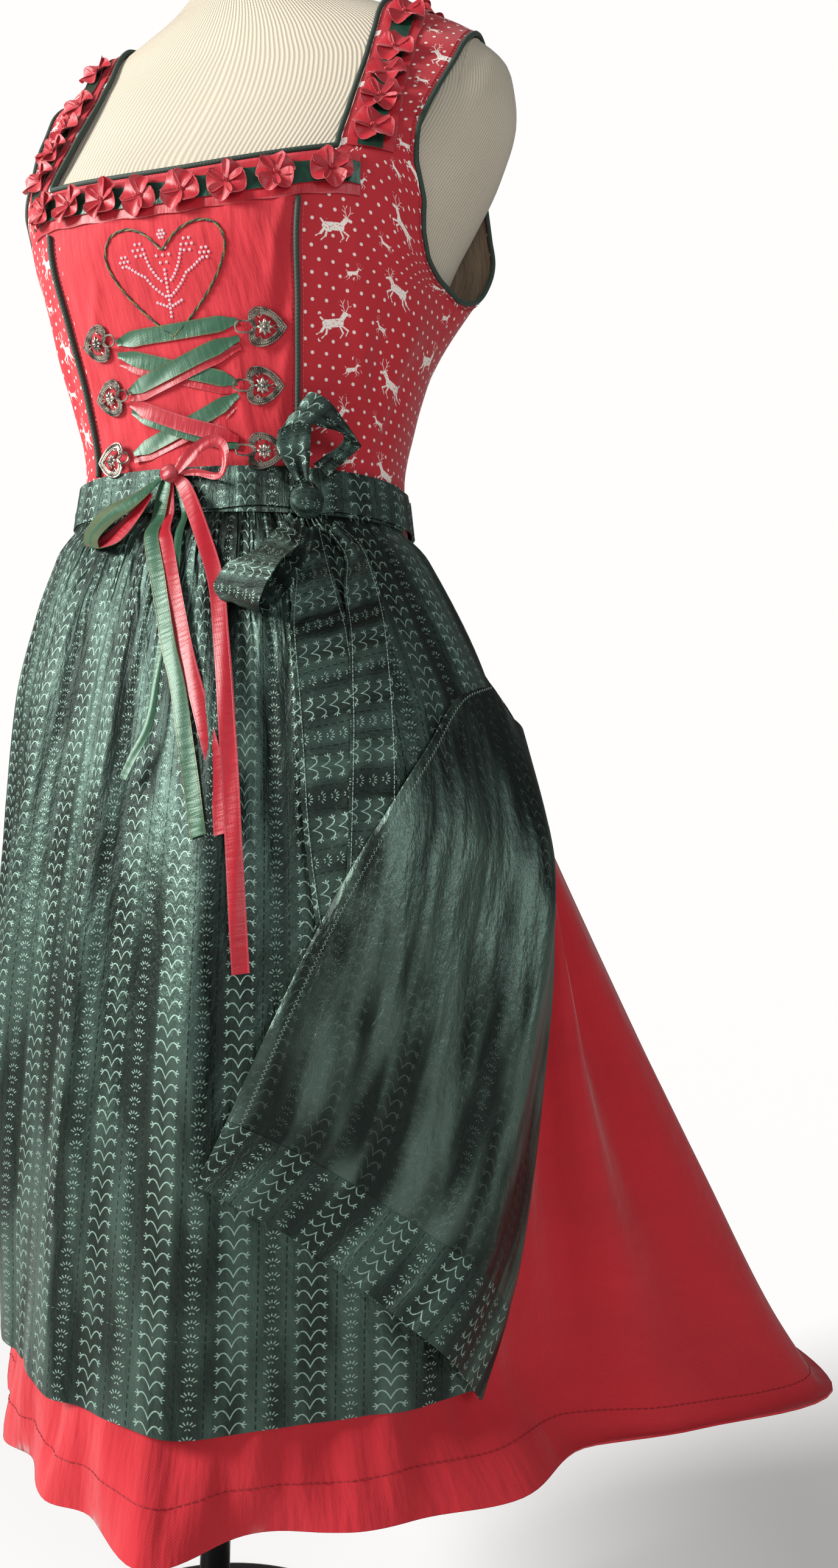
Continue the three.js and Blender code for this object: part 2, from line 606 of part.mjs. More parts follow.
// The turned-over corner: for each height of the fold, how much of the curl is there and where the side edge lies.
const CORNER = [
  { z: 391, curl: 1, angle: 24.2, height: 552 },
  { z: 450, curl: 1, angle: 28.7, height: 595 },
  { z: 515, curl: 1, angle: 34.3, height: 650 },
  { z: 590, curl: 1, angle: 41.3, height: 712 },
  { z: 665, curl: 1, angle: 49.4, height: 774 },
  { z: 740, curl: 1, angle: 59.6, height: 831 },
  { z: 805, curl: 1, angle: 70, height: 872 },
  { z: 845, curl: 1, angle: 78.8, height: 881 },
  { z: 868, curl: 0.65, angle: 84, height: 884 },
  { z: 890, curl: 0.3, angle: 86, height: 890 },
];

const apronCrest = (degrees, z) => (
  roundSkirt(z)(degrees) + lerp(APRON_STAND, 3.6, smooth(z, 980, APRON_TOP_Z)) + lerp(APRON_CREST, 0.8, smooth(z, 820, APRON_TOP_Z)));

function apronRadius(degrees, z) {
  const depth = lerp(APRON_CREST, 0.8, smooth(z, 820, APRON_TOP_Z));
  const calm = 1 - 0.7 * smooth(degrees, 50, 70);
  return apronCrest(degrees, z) - depth + depth * calm * apronFold(degrees);
}

const onApron = (degrees, z, out = 0) => ({ p: polar(degrees, apronRadius(degrees, z) + out, z), n: polar(degrees, 1, 0) });

function cornerRow({ z, curl, angle, height }) {
  const fold = FOLD.get('angle', z);
  const { p: start, n } = onApron(fold, z);
  const sideways = polar(fold + 90, 1, 0);
  const curled = steps(4).map((t) => {
    const turn = rad(180 * t * curl - 90);
    const away = sideways.clone().multiplyScalar(Math.cos(turn)).addScaledVector(n, Math.sin(turn));
    return { p: start.clone().addScaledVector(n, CURL).addScaledVector(away, CURL), n: away.clone().negate() };
  });
  if (curl < 1) return curled;
  const lift = 22 * (890 - z) / 499;
  const flat = steps(7).slice(1).map((t) => {
    const [at, up] = [lerp(fold, angle, t), lerp(z, height, t) + lift * 4 * t * (1 - t)];
    const wave = 1.5 * Math.sin(4.2 * t + z / 60) * Math.sin(Math.PI * Math.min(1, 1.4 * t));
    const r = apronCrest(at, up) - lerp(APRON_CREST, 0, Math.min(1, 3 * t)) + 2 * CURL + wave;
    return { p: polar(at, r, up), n: polar(at, -1, 0) };
  });
  return [...curled, ...flat];
}

function addApron() {
  const main = APRON_HEIGHTS.map((z) => steps(44).map((t) => onApron(lerp(APRON_RIGHT, FOLD.get('angle', z), t), z)));
  const corner = CORNER.map(cornerRow);
  corner.push([main[CORNER.length].at(-1)]);
  corner.forEach((row, i) => { row[0] = main[i].at(-1); });
  add('apron', cloth([main, corner], APRON_CLOTH), DARK_GREEN);
}

// ---- waistband, ties and bow ---------------------------------------------------------------------------------
function bandRadius(degrees, z) {
  const t = (BAND_TOP_Z - z) / (BAND_TOP_Z - BAND_BOTTOM_Z);
  return lerp(figureRadius(rad(degrees), 1037) + 8, roundSkirt(BAND_BOTTOM_Z)(degrees) + 4.4, t);
}

const WRAP_OUT = 1.6; // outer face of a tie lying on the waistband
const BAND_END = 90;
const BAND_STEP = 6; // degrees between its corners, and between those of the ties on it

// The outermost cloth at a place: bodice, ties on the waistband, or apron.
function coverRadius(degrees, z) {
  if (z > BAND_TOP_Z + 3) return figureRadius(rad(degrees), z) + EASE + CLOTH;
  return z > BAND_BOTTOM_Z - 4 ? bandRadius(degrees, z) + WRAP_OUT + 0.2 : apronCrest(degrees, z);
}

const onCover = (degrees, z, out) => ({ p: polar(degrees, coverRadius(degrees, z) + out, z), n: polar(degrees, 1, 0) });

// A tie round the waist: rows of angle, lower and upper edge, and outer face beyond the waistband's.
function wrap(rows) {
  const at = new Profile(rows, 'angle');
  const [from, to] = [rows[0].angle, rows.at(-1).angle];
  const turns = [from];
  for (let turn = Math.ceil((from + 1) / BAND_STEP) * BAND_STEP; turn < to - 1; turn += BAND_STEP) turns.push(turn);
  turns.push(to);
  return cloth([['low', 'high'].map((edge) => turns.map((degrees) => {
    const z = at.get(edge, degrees);
    return { p: polar(degrees, bandRadius(degrees, z) + at.get('out', degrees), z), n: polar(degrees, 1, 0) };
  }))], SASH);
}

// A ribbon lying on the cloth below it: rows of angle, height and outer face beyond that cloth.
function draped(rows, width, thickness, columns = 1) {
  const flat = rows.map(([degrees, z]) => vec(rad(degrees) * coverRadius(degrees, z), z, 0));
  return cloth([rows.map(([degrees, z, out], i) => {
    const { along } = alongAt(flat, i);
    const wide = typeof width === 'function' ? width(i / (rows.length - 1)) : width;
    return steps(columns).map((t) => {
      const aside = wide * (t - 0.5);
      return onCover(degrees - THREE.MathUtils.radToDeg((along.y * aside) / coverRadius(degrees, z)), z + along.x * aside, out);
    });
  })], thickness);
}

// A ribbon given by its two edges, station by station: x, y, z of one edge, then of the other.
function ribbonBetween(stations, thickness, flip = 1) {
  const edges = stations.map((v) => [vec(...v.slice(0, 3)), vec(...v.slice(3))]);
  const middle = edges.map(([a, b]) => a.clone().add(b).multiplyScalar(0.5));
  return cloth([edges.map(([a, b], i) => {
    const n = alongAt(middle, i).along.clone().cross(b.clone().sub(a)).normalize().multiplyScalar(flip);
    return [{ p: a, n }, { p: middle[i], n }, { p: b, n }];
  })], thickness);
}

const BOW_LOOP_UPPER = [
  [94, -97, 1024.6, 103, -93.2, 1024.4],
  [79, -96, 1047, 102, -90, 1052],
  [79, -97, 1060, 103, -92, 1068],
  [83, -99, 1063, 102, -98, 1087],
  [99, -102, 1065, 116, -95, 1083],
  [114, -97, 1062, 126, -85, 1070],
  [125, -86, 1060, 133, -71, 1056],
  [121, -77, 1055, 129, -64, 1054],
  [109, -79, 1047, 122, -78, 1040],
  [104, -88, 1039, 114, -84, 1030],
];
const BOW_LOOP_LOWER = [
  [94, -105, 999, 107, -110, 991],
  [88, -119, 984, 114, -131, 972],
  [79, -135, 967, 111, -149, 959],
  [66, -143, 958, 109, -159, 948],
  [61, -148, 947, 107, -165, 939],
  [58, -147, 942, 103, -165, 929],
  [59, -145, 937, 100, -160, 924],
  [65, -143, 932, 97, -151, 921],
  [77, -138, 942, 102, -146, 924],
  [89, -124, 961, 110, -134, 942],
  [97, -110, 979, 115, -117, 966],
  [100, -101, 992, 113, -104, 986],
];
const BOW_KNOT = { degrees: 47.9, z: 1011, r: 136.2 };
const TAIL_FRONT = [[48.5, 990, 3], [46.9, 960, 3], [45.9, 926, 3], [45.8, 906, 3], [45.5, 863, 3], [45.4, 822, 3],
  [45.4, 782, 3], [45.9, 750, 3], [46.8, 715, 3], [47.5, 691, 3]];
const TAIL_BACK = [[55.1, 994, 6], [58.6, 975, 6], [57.2, 949, 6], [55.6, 916, 6], [53.9, 885, 6], [52.3, 843, 6],
  [51, 802, 6], [50.1, 762, 6], [49.4, 731, 6]];

function addTies() {
  const band = [BAND_BOTTOM_Z, BAND_TOP_Z].map((z) => steps((2 * BAND_END) / BAND_STEP).map((t) => {
    const degrees = lerp(-BAND_END, BAND_END, t);
    return { p: polar(degrees, bandRadius(degrees, z), z), n: polar(degrees, 1, 0) };
  }));
  add('apron_band', cloth([band], BAND_CLOTH), DARK_GREEN);
  add('tie_wrap_right', wrap([
    { angle: -252, low: 1006, high: 1037, out: WRAP_OUT },
    { angle: -20, low: 1005, high: 1038, out: WRAP_OUT },
    { angle: 15, low: 1006, high: 1038, out: WRAP_OUT },
    { angle: 35, low: 1009, high: 1035, out: WRAP_OUT },
    { angle: 46, low: 1008, high: 1022, out: WRAP_OUT },
  ]), DARK_GREEN);
  add('tie_wrap_left', wrap([
    { angle: 50, low: 1002, high: 1020, out: WRAP_OUT },
    { angle: 60, low: 1007, high: 1036, out: WRAP_OUT },
    { angle: 96, low: 1006, high: 1037, out: WRAP_OUT },
    { angle: 102, low: 1006, high: 1037, out: 0 },
    { angle: 268, low: 1006, high: 1037, out: 0 },
  ]), DARK_GREEN);
  const { degrees, z, r } = BOW_KNOT;
  const knot = new THREE.SphereGeometry(1, 10, 7).scale(13, 9.4, 13).rotateZ(rad(degrees));
  const at = polar(degrees, r, z);
  add('bow_knot', knot.translate(at.x, at.y, at.z), DARK_GREEN);
  add('bow_loop_upper', ribbonBetween(BOW_LOOP_UPPER, SASH), DARK_GREEN);
  add('bow_loop_lower', ribbonBetween(BOW_LOOP_LOWER, SASH), DARK_GREEN);
  add('tie_tail_front', draped(TAIL_FRONT, (t) => lerp(20, 42, smooth(t, 0, 0.25)), SASH, 2), DARK_GREEN);
  add('tie_tail_back', draped(TAIL_BACK, (t) => lerp(16, 30, smooth(t, 0, 0.3)), SASH, 2), DARK_GREEN);
}

// ---- lacing --------------------------------------------------------------------------------------------------
// Heart hooks: middle of the heart, and how far out its back is from the bodice.
const HOOKS = [
  { row: 1, x: 72, z: 1136, out: 0.8 },
  { row: 2, x: 66, z: 1097, out: 0.8 },
  { row: 3, x: 65, z: 1049, out: 5.4 },
];
const HOOK = 1.8;
const HEART_HEIGHT = 26; // across the two lobes
const HEART_LENGTH = 27; // lobes to tip

// Stretches of ribbon between hooks: x, z, out of each point.
const STRETCHES = {
  lace_top: [[-51, 1134, 0.5], [-30, 1135, 0.8], [0, 1136, 0.8], [30, 1138, 0.8], [51, 1140, 0.5]],
  lace_1_down: [[-51, 1126, 1.2], [-28, 1119, 1.3], [0, 1111, 1.3], [28, 1104, 1.3], [46, 1099, 1.2]],
  lace_1_up: [[51, 1129, 1.2], [26, 1121, 2.8], [0, 1112, 2.9], [-26, 1104, 2.6], [-45, 1099, 1.2]],
  lace_2_down: [[-45, 1091, 1.2], [-26, 1083, 2.8], [0, 1073, 2.9], [26, 1065, 2.8], [44, 1059, 2.8]],
  lace_2_up: [[46, 1091, 1.2], [26, 1081, 1.3], [0, 1070, 1.3], [-26, 1060, 1.3], [-44, 1053, 3]],
};
const LACE_KNOT = { degrees: -3, z: 1033, r: 106.4 };

const LACE_LOOP_LEFTWARD = [
  [-13.6, -107, 1031.5, -11.6, -108.2, 1027.2],
  [-36, -110, 1018, -27, -120, 1006],
  [-63, -107, 1008, -42, -125, 993],
  [-80, -104, 995, -51, -129, 982],
  [-81, -106, 986, -52, -128, 976],
  [-72, -114, 979, -49, -128, 974],
  [-53, -117, 987, -33, -128, 979],
  [-33, -113, 1006, -23, -119, 998],
  [-20, -109, 1019, -15, -114, 1014],
];
const LACE_LOOP_RIGHTWARD = [
  [4, -104, 1051, 9, -102, 1043],
  [23, -106, 1057, 23, -102, 1049],
  [36, -106, 1059, 33, -102, 1050],
  [44, -106, 1052, 38, -104, 1046],
  [46, -108, 1039, 40, -108, 1037],
  [42, -109, 1028, 37, -109, 1031],
  [33, -107, 1026, 30, -107, 1032],
  [18, -106, 1030, 18, -107, 1035],
  [3.2, -106, 1031, 3.2, -107, 1035],
];
const TAILS = {
  lace_tail_green: [[-5.5, 1021, 4], [-6, 999, 5.4], [-4.4, 987, 5.4], [-2.4, 976, 4.6], [2.3, 954, 4], [5.8, 932, 4], [10.4, 899, 4], [14.4, 869, 4],
    [19.5, 807, 4], [21.8, 769, 4]],
  lace_tail_red: [[4.6, 1022, 4], [15.5, 982, 4], [21.2, 948, 4], [23.8, 908, 4], [25.7, 861, 4], [27.5, 800, 4], [28.8, 740, 4],
    [30, 682, 4]],
  lace_tail_red_short: [[-3.2, 998, 3.2], [-0.2, 986, 3.2], [2.9, 975, 2.8], [9.6, 936, 2.6], [13.6, 908, 2.6], [17.1, 881, 2.6], [21.5, 844, 2.6],
    [24.9, 807, 2.6], [26.2, 771, 2.6]],
  lace_tail_green_thin: [[4.2, 1002, 1.2], [6.2, 983, 1.2], [8.5, 944, 1.2], [7.8, 913, 1.2], [7.8, 877, 1.2], [7.5, 842, 1.2],
    [4.4, 818, 1.2], [2.7, 805, 1.2]],
};

function heartShape() {
  const [h, l] = [HEART_HEIGHT / 2, HEART_LENGTH];
  const heart = new THREE.Shape();
  heart.moveTo(l, 0).bezierCurveTo(l * 0.75, h * 0.75, l * 0.5, h, l * 0.26, h).bezierCurveTo(-l * 0.08, h, -l * 0.08, h * 0.2, l * 0.16, 0);
  heart.bezierCurveTo(-l * 0.08, -h * 0.2, -l * 0.08, -h, l * 0.26, -h).bezierCurveTo(l * 0.5, -h, l * 0.75, -h * 0.75, l, 0);
  for (const side of [1, -1]) {
    const hole = new THREE.Path();
    hole.moveTo(l * 0.58, side * h * 0.1).lineTo(l * 0.3, side * h * 0.18).lineTo(l * 0.14, side * h * 0.5);
    hole.lineTo(l * 0.28, side * h * 0.74).lineTo(l * 0.46, side * h * 0.6);
    heart.holes.push(hole);
  }
  return heart;
}

function hookSolid() {
  const plate = (shape, curveSegments) => solidOf(new THREE.ExtrudeGeometry(shape, { depth: HOOK, bevelEnabled: false, curveSegments }));
  const ring = new THREE.Shape().absarc(1, 0, 4, 0, 2 * Math.PI);
  ring.holes.push(new THREE.Path().absarc(1, 0, 2.4, 0, 2 * Math.PI));
  const heart = plate(heartShape(), 3).add(plate(ring, 4));
  return geometryOfSolid(heart.translate([-HEART_LENGTH / 2, 0, 0]));
}

function addLacing() {
  const hook = hookSolid();
  for (const { row, x, z, out } of HOOKS) {
    for (const [name, side] of [['left', 1], ['right', -1]]) {
      const { p, n } = onFront(side * x, z, out);
      const tip = vec(0, 0, 1).cross(n).normalize().multiplyScalar(side);
      const up = n.clone().cross(tip).normalize();
      const placing = new THREE.Matrix4().makeBasis(tip, up, n).setPosition(p);
      add(`hook_${name}_${row}`, hook.clone().applyMatrix4(placing), OLD_SILVER);
    }
  }
  for (const [name, points] of Object.entries(STRETCHES)) {
    const places = points.map(([x, z, out]) => onFront(x, z, out + SATIN));
    const width = (t) => SATIN_WIDTH * (0.4 + 0.6 * Math.min(1, 5 * t, 5 * (1 - t)));
    add(name, ribbon(places, width, SATIN, 1), name.endsWith('2_down') ? SATIN_RED : SATIN_GREEN);
  }
  const { degrees, z, r } = LACE_KNOT;
  const at = polar(degrees, r, z);
  const knot = new THREE.SphereGeometry(1, 8, 6).scale(8, 5.5, 7).rotateZ(rad(degrees));
  add('lace_knot', knot.translate(at.x, at.y, at.z), SATIN_RED);
  add('lace_loop_right', ribbonBetween(LACE_LOOP_LEFTWARD, SATIN), SATIN_GREEN);
  add('lace_loop_left', ribbonBetween(LACE_LOOP_RIGHTWARD, SATIN), SATIN_RED);
  for (const [name, rows] of Object.entries(TAILS)) {
    const wide = name.endsWith('thin') ? 6 : SATIN_WIDTH;
    add(name, draped(rows, wide, SATIN), name.includes('green') ? SATIN_GREEN : SATIN_RED);
  }
}

// ---- neck trim -----------------------------------------------------------------------------------------------
// A ribbon gathered into pinched box pleats: its two edges stand up in the middle of each pleat.
function trim(at, pleats) {
  const rows = steps(pleats * 4).map((t, i) => {
    const rise = Math.sin((Math.PI * (i % 4)) / 4) ** 2;
    const spread = (RUCHE_WIDTH / 2) * (0.86 + 0.14 * rise);
    return [-1, 0, 1].map((side) => at(t, side * spread, 2 + (side === 0 ? 0.6 * (1 - rise) : 4.4 * rise)));
  });
  return cloth([rows], 1.2);
}

function addTrim() {
  const reach = NECK_CORNER_X + 13;
  const below = RUCHE_WIDTH / 2 + 3;
  add('trim_front', trim((t, across, out) => {
    const x = lerp(-reach, reach, t);
    return onFront(x, neckZ(x) - below + across, out);
  }, 8), SATIN_RED);

  const dense = [];
  const middle = (turn) => STRAP.get('inner', turn) + below;
  for (let z = NECK_Z + 2; z < YOKE_Z; z += 2) dense.push({ z, turn: 0 });
  for (let turn = 1; turn <= 174; turn += 1) dense.push({ turn });
  const on = ({ z, turn }, across, out) => (z ? onFront(middle(0) + across, z, out) : onStrap(middle(turn) + across, turn, out));
  const lengths = [0];
  for (let i = 1; i < dense.length; i += 1) lengths.push(lengths[i - 1] + on(dense[i], 0, 0).p.distanceTo(on(dense[i - 1], 0, 0).p));
  const pleats = Math.round(lengths.at(-1) / RUCHE_PITCH);
  for (const [name, side] of [['left', 1], ['right', -1]]) {
    const strap = trim((t, across, out) => {
      const i = lengths.findIndex((length) => length >= t * lengths.at(-1) - 1e-9);
      const spot = on(dense[i], across, out);
      return side > 0 ? spot : mirrored(spot);
    }, pleats);
    add(`trim_strap_${name}`, strap, SATIN_RED);
  }
}

addStand();
addForm();
addBodice();
addPiping();
addSkirt();
addApron();
addTies();
addLacing();
addTrim();

export default root;
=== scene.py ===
"""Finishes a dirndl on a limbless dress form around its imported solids.

Shapes are worked out in millimetres in the row frame: +Z up, the front faces -Y and the wearer's left is +X.
A place on the cloth is an angle round the figure, 0 at the front and 90 degrees at the wearer's left, and a
height, or for the shoulder straps a distance from the middle and a turn over the shoulder.
"""

from __future__ import annotations

import logging
import math
from dataclasses import dataclass, field
from enum import Enum
from typing import Callable, Optional, Sequence

import bpy
import numpy as np
from mathutils import Matrix, Vector

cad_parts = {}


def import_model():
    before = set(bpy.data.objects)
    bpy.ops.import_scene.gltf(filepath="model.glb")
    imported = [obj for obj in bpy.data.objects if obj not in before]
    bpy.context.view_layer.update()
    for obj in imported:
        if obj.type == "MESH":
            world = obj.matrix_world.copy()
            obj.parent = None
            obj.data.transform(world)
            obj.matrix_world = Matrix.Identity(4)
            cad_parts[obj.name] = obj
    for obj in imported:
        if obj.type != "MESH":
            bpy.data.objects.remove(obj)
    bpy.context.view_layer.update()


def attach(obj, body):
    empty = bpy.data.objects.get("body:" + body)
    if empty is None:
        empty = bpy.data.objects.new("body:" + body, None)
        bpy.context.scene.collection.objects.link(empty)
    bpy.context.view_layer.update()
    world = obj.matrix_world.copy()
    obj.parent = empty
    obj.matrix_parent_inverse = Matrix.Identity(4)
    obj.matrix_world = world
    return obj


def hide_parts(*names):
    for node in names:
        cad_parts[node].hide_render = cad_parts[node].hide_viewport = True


log = logging.getLogger("dirndl")

Array = np.ndarray
Places = tuple[Array, Array]  # points of a cloth's outer face, and the way out of the cloth there
MM = 0.001
BODY = "root"


class Slot(str, Enum):
    """The material slots."""

    PRINT = "printed_cotton"
    PLAIN = "plain_cotton"
    JACQUARD = "apron_jacquard"
    PIPING = "piping"
    SATIN_RED = "satin_red"
    SATIN_GREEN = "satin_green"
    SILVER = "old_silver"
    JERSEY = "form_jersey"
    STEEL = "black_steel"
    BEECH = "beech"


# ---- tables -----------------------------------------------------------------


def slopes_of(at: Array, values: Array) -> Array:
    """Slopes that let a table run smoothly without overshooting its rows.

    Args:
        at: Where the rows are, rising.
        values: Their values, one row each along the first axis.

    Returns:
        The slope at each row, in the shape of values.
    """
    span = np.diff(at).reshape(-1, *[1] * (values.ndim - 1))
    step = np.diff(values, axis=0) / span
    before, after = step[:-1], step[1:]
    same = before * after > 0
    middle = np.where(same, 2 * before * after / np.where(same, before + after, 1), 0.0)
    return np.concatenate([step[:1], middle, step[-1:]])


def picked(rows: Array, numbers: Array) -> Array:
    """The row that each place's number names."""
    return np.take_along_axis(rows, numbers[None], 0)[0]


def read_rows(at: Array, values: Array, slopes: Array, where: Array) -> Array:
    """Reads a table between its rows.

    Args:
        at: Where the rows are.
        values: Their values: one each, or an array in the shape of where for each.
        slopes: What slopes_of gives for them.
        where: Where to read, any shape.

    Returns:
        The values there, in the shape of where.
    """
    where = np.clip(where, at[0], at[-1])
    i = np.clip(np.searchsorted(at, where, side="right") - 1, 0, len(at) - 2)
    span = at[i + 1] - at[i]
    t = (where - at[i]) / span
    if values.ndim == 1:
        a, b, ma, mb = values[i], values[i + 1], slopes[i] * span, slopes[i + 1] * span
    else:
        a, b = picked(values, i), picked(values, i + 1)
        ma, mb = picked(slopes, i) * span, picked(slopes, i + 1) * span
    return a + t * (ma + t * (3 * (b - a) - 2 * ma - mb + t * (2 * (a - b) + ma + mb)))


class Table:
    """Rows of named columns, read at any place along the first column."""

    def __init__(self, names: str, rows: Sequence[Sequence[float]]) -> None:
        """Keeps the rows.

        Args:
            names: The columns' names, the first being the one it is read by.
            rows: One row of numbers each, rising in the first column.
        """
        data = np.array(rows, float)
        self.at = data[:, 0]
        self.columns = {name: data[:, k + 1] for k, name in enumerate(names.split()[1:])}
        self.slopes = {name: slopes_of(self.at, column) for name, column in self.columns.items()}

    def get(self, name: str, where: Array | float) -> Array:
        """Reads one column at the given places."""
        return read_rows(self.at, self.columns[name], self.slopes[name], np.asarray(where, float))


def smooth(value: Array | float, low: float, high: float) -> Array:
    """Rises softly from 0 at low to 1 at high."""
    t = np.clip((np.asarray(value, float) - low) / (high - low), 0, 1)
    return t * t * (3 - 2 * t)


def bump(value: Array | float, middle: float, width: float) -> Array:
    """A soft bump of height 1."""
    return np.exp(-(((value - middle) / width) ** 2))


def mix(a: Array | float, b: Array | float, t: Array | float) -> Array:
    """Goes evenly from a to b as t goes from 0 to 1."""
    return a + (b - a) * t


def unit(v: Array) -> Array:
    """Vectors at length 1."""
    return v / np.maximum(np.linalg.norm(v, axis=-1, keepdims=True), 1e-9)


def vectors(x: Array | float, y: Array | float, z: Array | float) -> Array:
    """Vectors from three arrays or numbers."""
    return np.stack(np.broadcast_arrays(*[np.asarray(v, float) for v in (x, y, z)]), -1)


def spaced(low: float, high: float, step: float) -> Array:
    """Even places from low to high, about a step apart, both ends among them."""
    return np.linspace(low, high, max(2, int(math.ceil(abs(high - low) / step)) + 1))


def turns_of(count: int) -> Array:
    """Even turns once round, in radians."""
    return np.linspace(0, 2 * math.pi, count, endpoint=False)


def polar(degrees: Array | float, r: Array | float, z: Array | float) -> Array:
    """Points at an angle round the stand, a distance from its middle and a height."""
    angle = np.radians(degrees)
    return vectors(r * np.sin(angle), -r * np.cos(angle), z)


def through(points: Array, count: int) -> Array:
    """A smooth line through points.

    Args:
        points: The points, one a row, of any width.
        count: How many points to give.

    Returns:
        That many rows along a Catmull-Rom spline through the points.
    """
    points = np.asarray(points, float)
    ends = np.concatenate([[2 * points[0] - points[1]], points, [2 * points[-1] - points[-2]]])
    where = np.linspace(0, len(points) - 1, count)
    i = np.clip(where.astype(int), 0, len(points) - 2)
    t = (where - i)[:, None]
    p0, p1, p2, p3 = (ends[i + k] for k in range(4))
    return 0.5 * (2 * p1 + (p2 - p0) * t + (2 * p0 - 5 * p1 + 4 * p2 - p3) * t**2
                  + (3 * p1 - p0 - 3 * p2 + p3) * t**3)


def swaying(degrees: Array, folds: float, sway: float, slow: float, shift: float = 0.0,
            lean: Array | float = 0.0) -> Array:
    """Folds round the figure, closer here and wider there.

    Args:
        degrees: Where to read them.
        folds: How many once round.
        sway: How far they sway, in degrees of their own wave.
        slow: How many times they sway once round.
        shift: Of the sway, in degrees.
        lean: How far they lean at each place.

    Returns:
        From -1 in a trough to 1 on a ridge.
    """
    return np.cos(np.radians(folds * degrees + sway * np.sin(np.radians(slow * degrees + shift)) + lean))


def run_of(points: Array) -> Array:
    """How far along a line each of its points is."""
    return np.concatenate([[0], np.cumsum(np.linalg.norm(np.diff(points, axis=0), axis=1))])


def filled(rows: Array, count: int) -> Array:
    """The columns of a list of rows, read at even places between the rows."""
    where = np.linspace(0, len(rows) - 1, count)
    return np.array([np.interp(where, np.arange(len(rows)), column) for column in rows.T])


def evened(points: Array, step: float) -> Array:
    """The same line with its points an even step apart.

    Args:
        points: Places on the line.
        step: The step in millimetres.

    Returns:
        The new points.
    """
    points = np.asarray(points, float)
    lengths = run_of(points[:, :3])
    where = spaced(0, lengths[-1], step)
    return np.stack([np.interp(where, lengths, points[:, k]) for k in range(points.shape[1])], 1)


# ---- meshes -----------------------------------------------------------------


def turned_axes(angle: float) -> Array:
    """Axes turned about the upright one by an angle in radians, as rows."""
    c, s = math.cos(angle), math.sin(angle)
    return np.array([[c, s, 0], [-s, c, 0], [0, 0, 1]])


@dataclass
class Solid:
    """Faces in millimetres, with a place on the cloth for each corner and a finish for each face."""

    vertices: Array
    faces: list[tuple[int, ...]]
    uv: Optional[Array] = None
    finishes: Optional[Array] = None

    def corner_count(self) -> int:
        """How many corners all the faces have."""
        return sum(len(face) for face in self.faces)

    def placed(self, axes: Array, at: Array, size: float = 1.0) -> "Solid":
        """A copy turned to three axes, given as rows, moved and resized."""
        return Solid(self.vertices @ (np.asarray(axes) * size) + np.asarray(at), self.faces, self.uv,
                     self.finishes)

    def finished(self, number: int) -> "Solid":
        """The same faces with one finish."""
        return Solid(self.vertices, self.faces, self.uv, np.full(len(self.faces), number))


def joined(solids: Sequence[Solid]) -> Solid:
    """Several solids as one.

    Args:
        solids: The solids to join.

    Returns:
        One solid with all their finishes.
    """
    faces: list[tuple[int, ...]] = []
    start = 0
    for solid in solids:
        faces.extend(tuple(k + start for k in face) for face in solid.faces)
        start += len(solid.vertices)
    uv = np.concatenate([s.uv if s.uv is not None else np.zeros((s.corner_count(), 2)) for s in solids])
    marks = np.concatenate([s.finishes if s.finishes is not None else np.zeros(len(s.faces), int)
                            for s in solids])
    return Solid(np.concatenate([s.vertices for s in solids]), faces, uv, marks)


@dataclass
class Patch:
    """A net of places on one piece of cloth, with the cloth's own measure in millimetres as uv."""

    points: Array
    normals: Array
    uv: Array
    front: int = 0
    back: int = 1


def measured(points: Array, along: float = 0.0, up: float = 0.0) -> Array:
    """A net's own measure: how far each place is along its row, and up its column, in millimetres.

    Args:
        points: The net's points.
        along: Where the first measure starts.
        up: Where the second starts.

    Returns:
        Two measures for each point.
    """
    across = np.linalg.norm(np.diff(points, axis=1), axis=-1)
    rise = np.linalg.norm(np.diff(points, axis=0), axis=-1)
    u = np.concatenate([np.zeros((points.shape[0], 1)), np.cumsum(across, 1)], 1) + along
    v = np.concatenate([np.zeros((1, points.shape[1])), np.cumsum(rise, 0)], 0) + up
    return np.stack([u, v], -1)


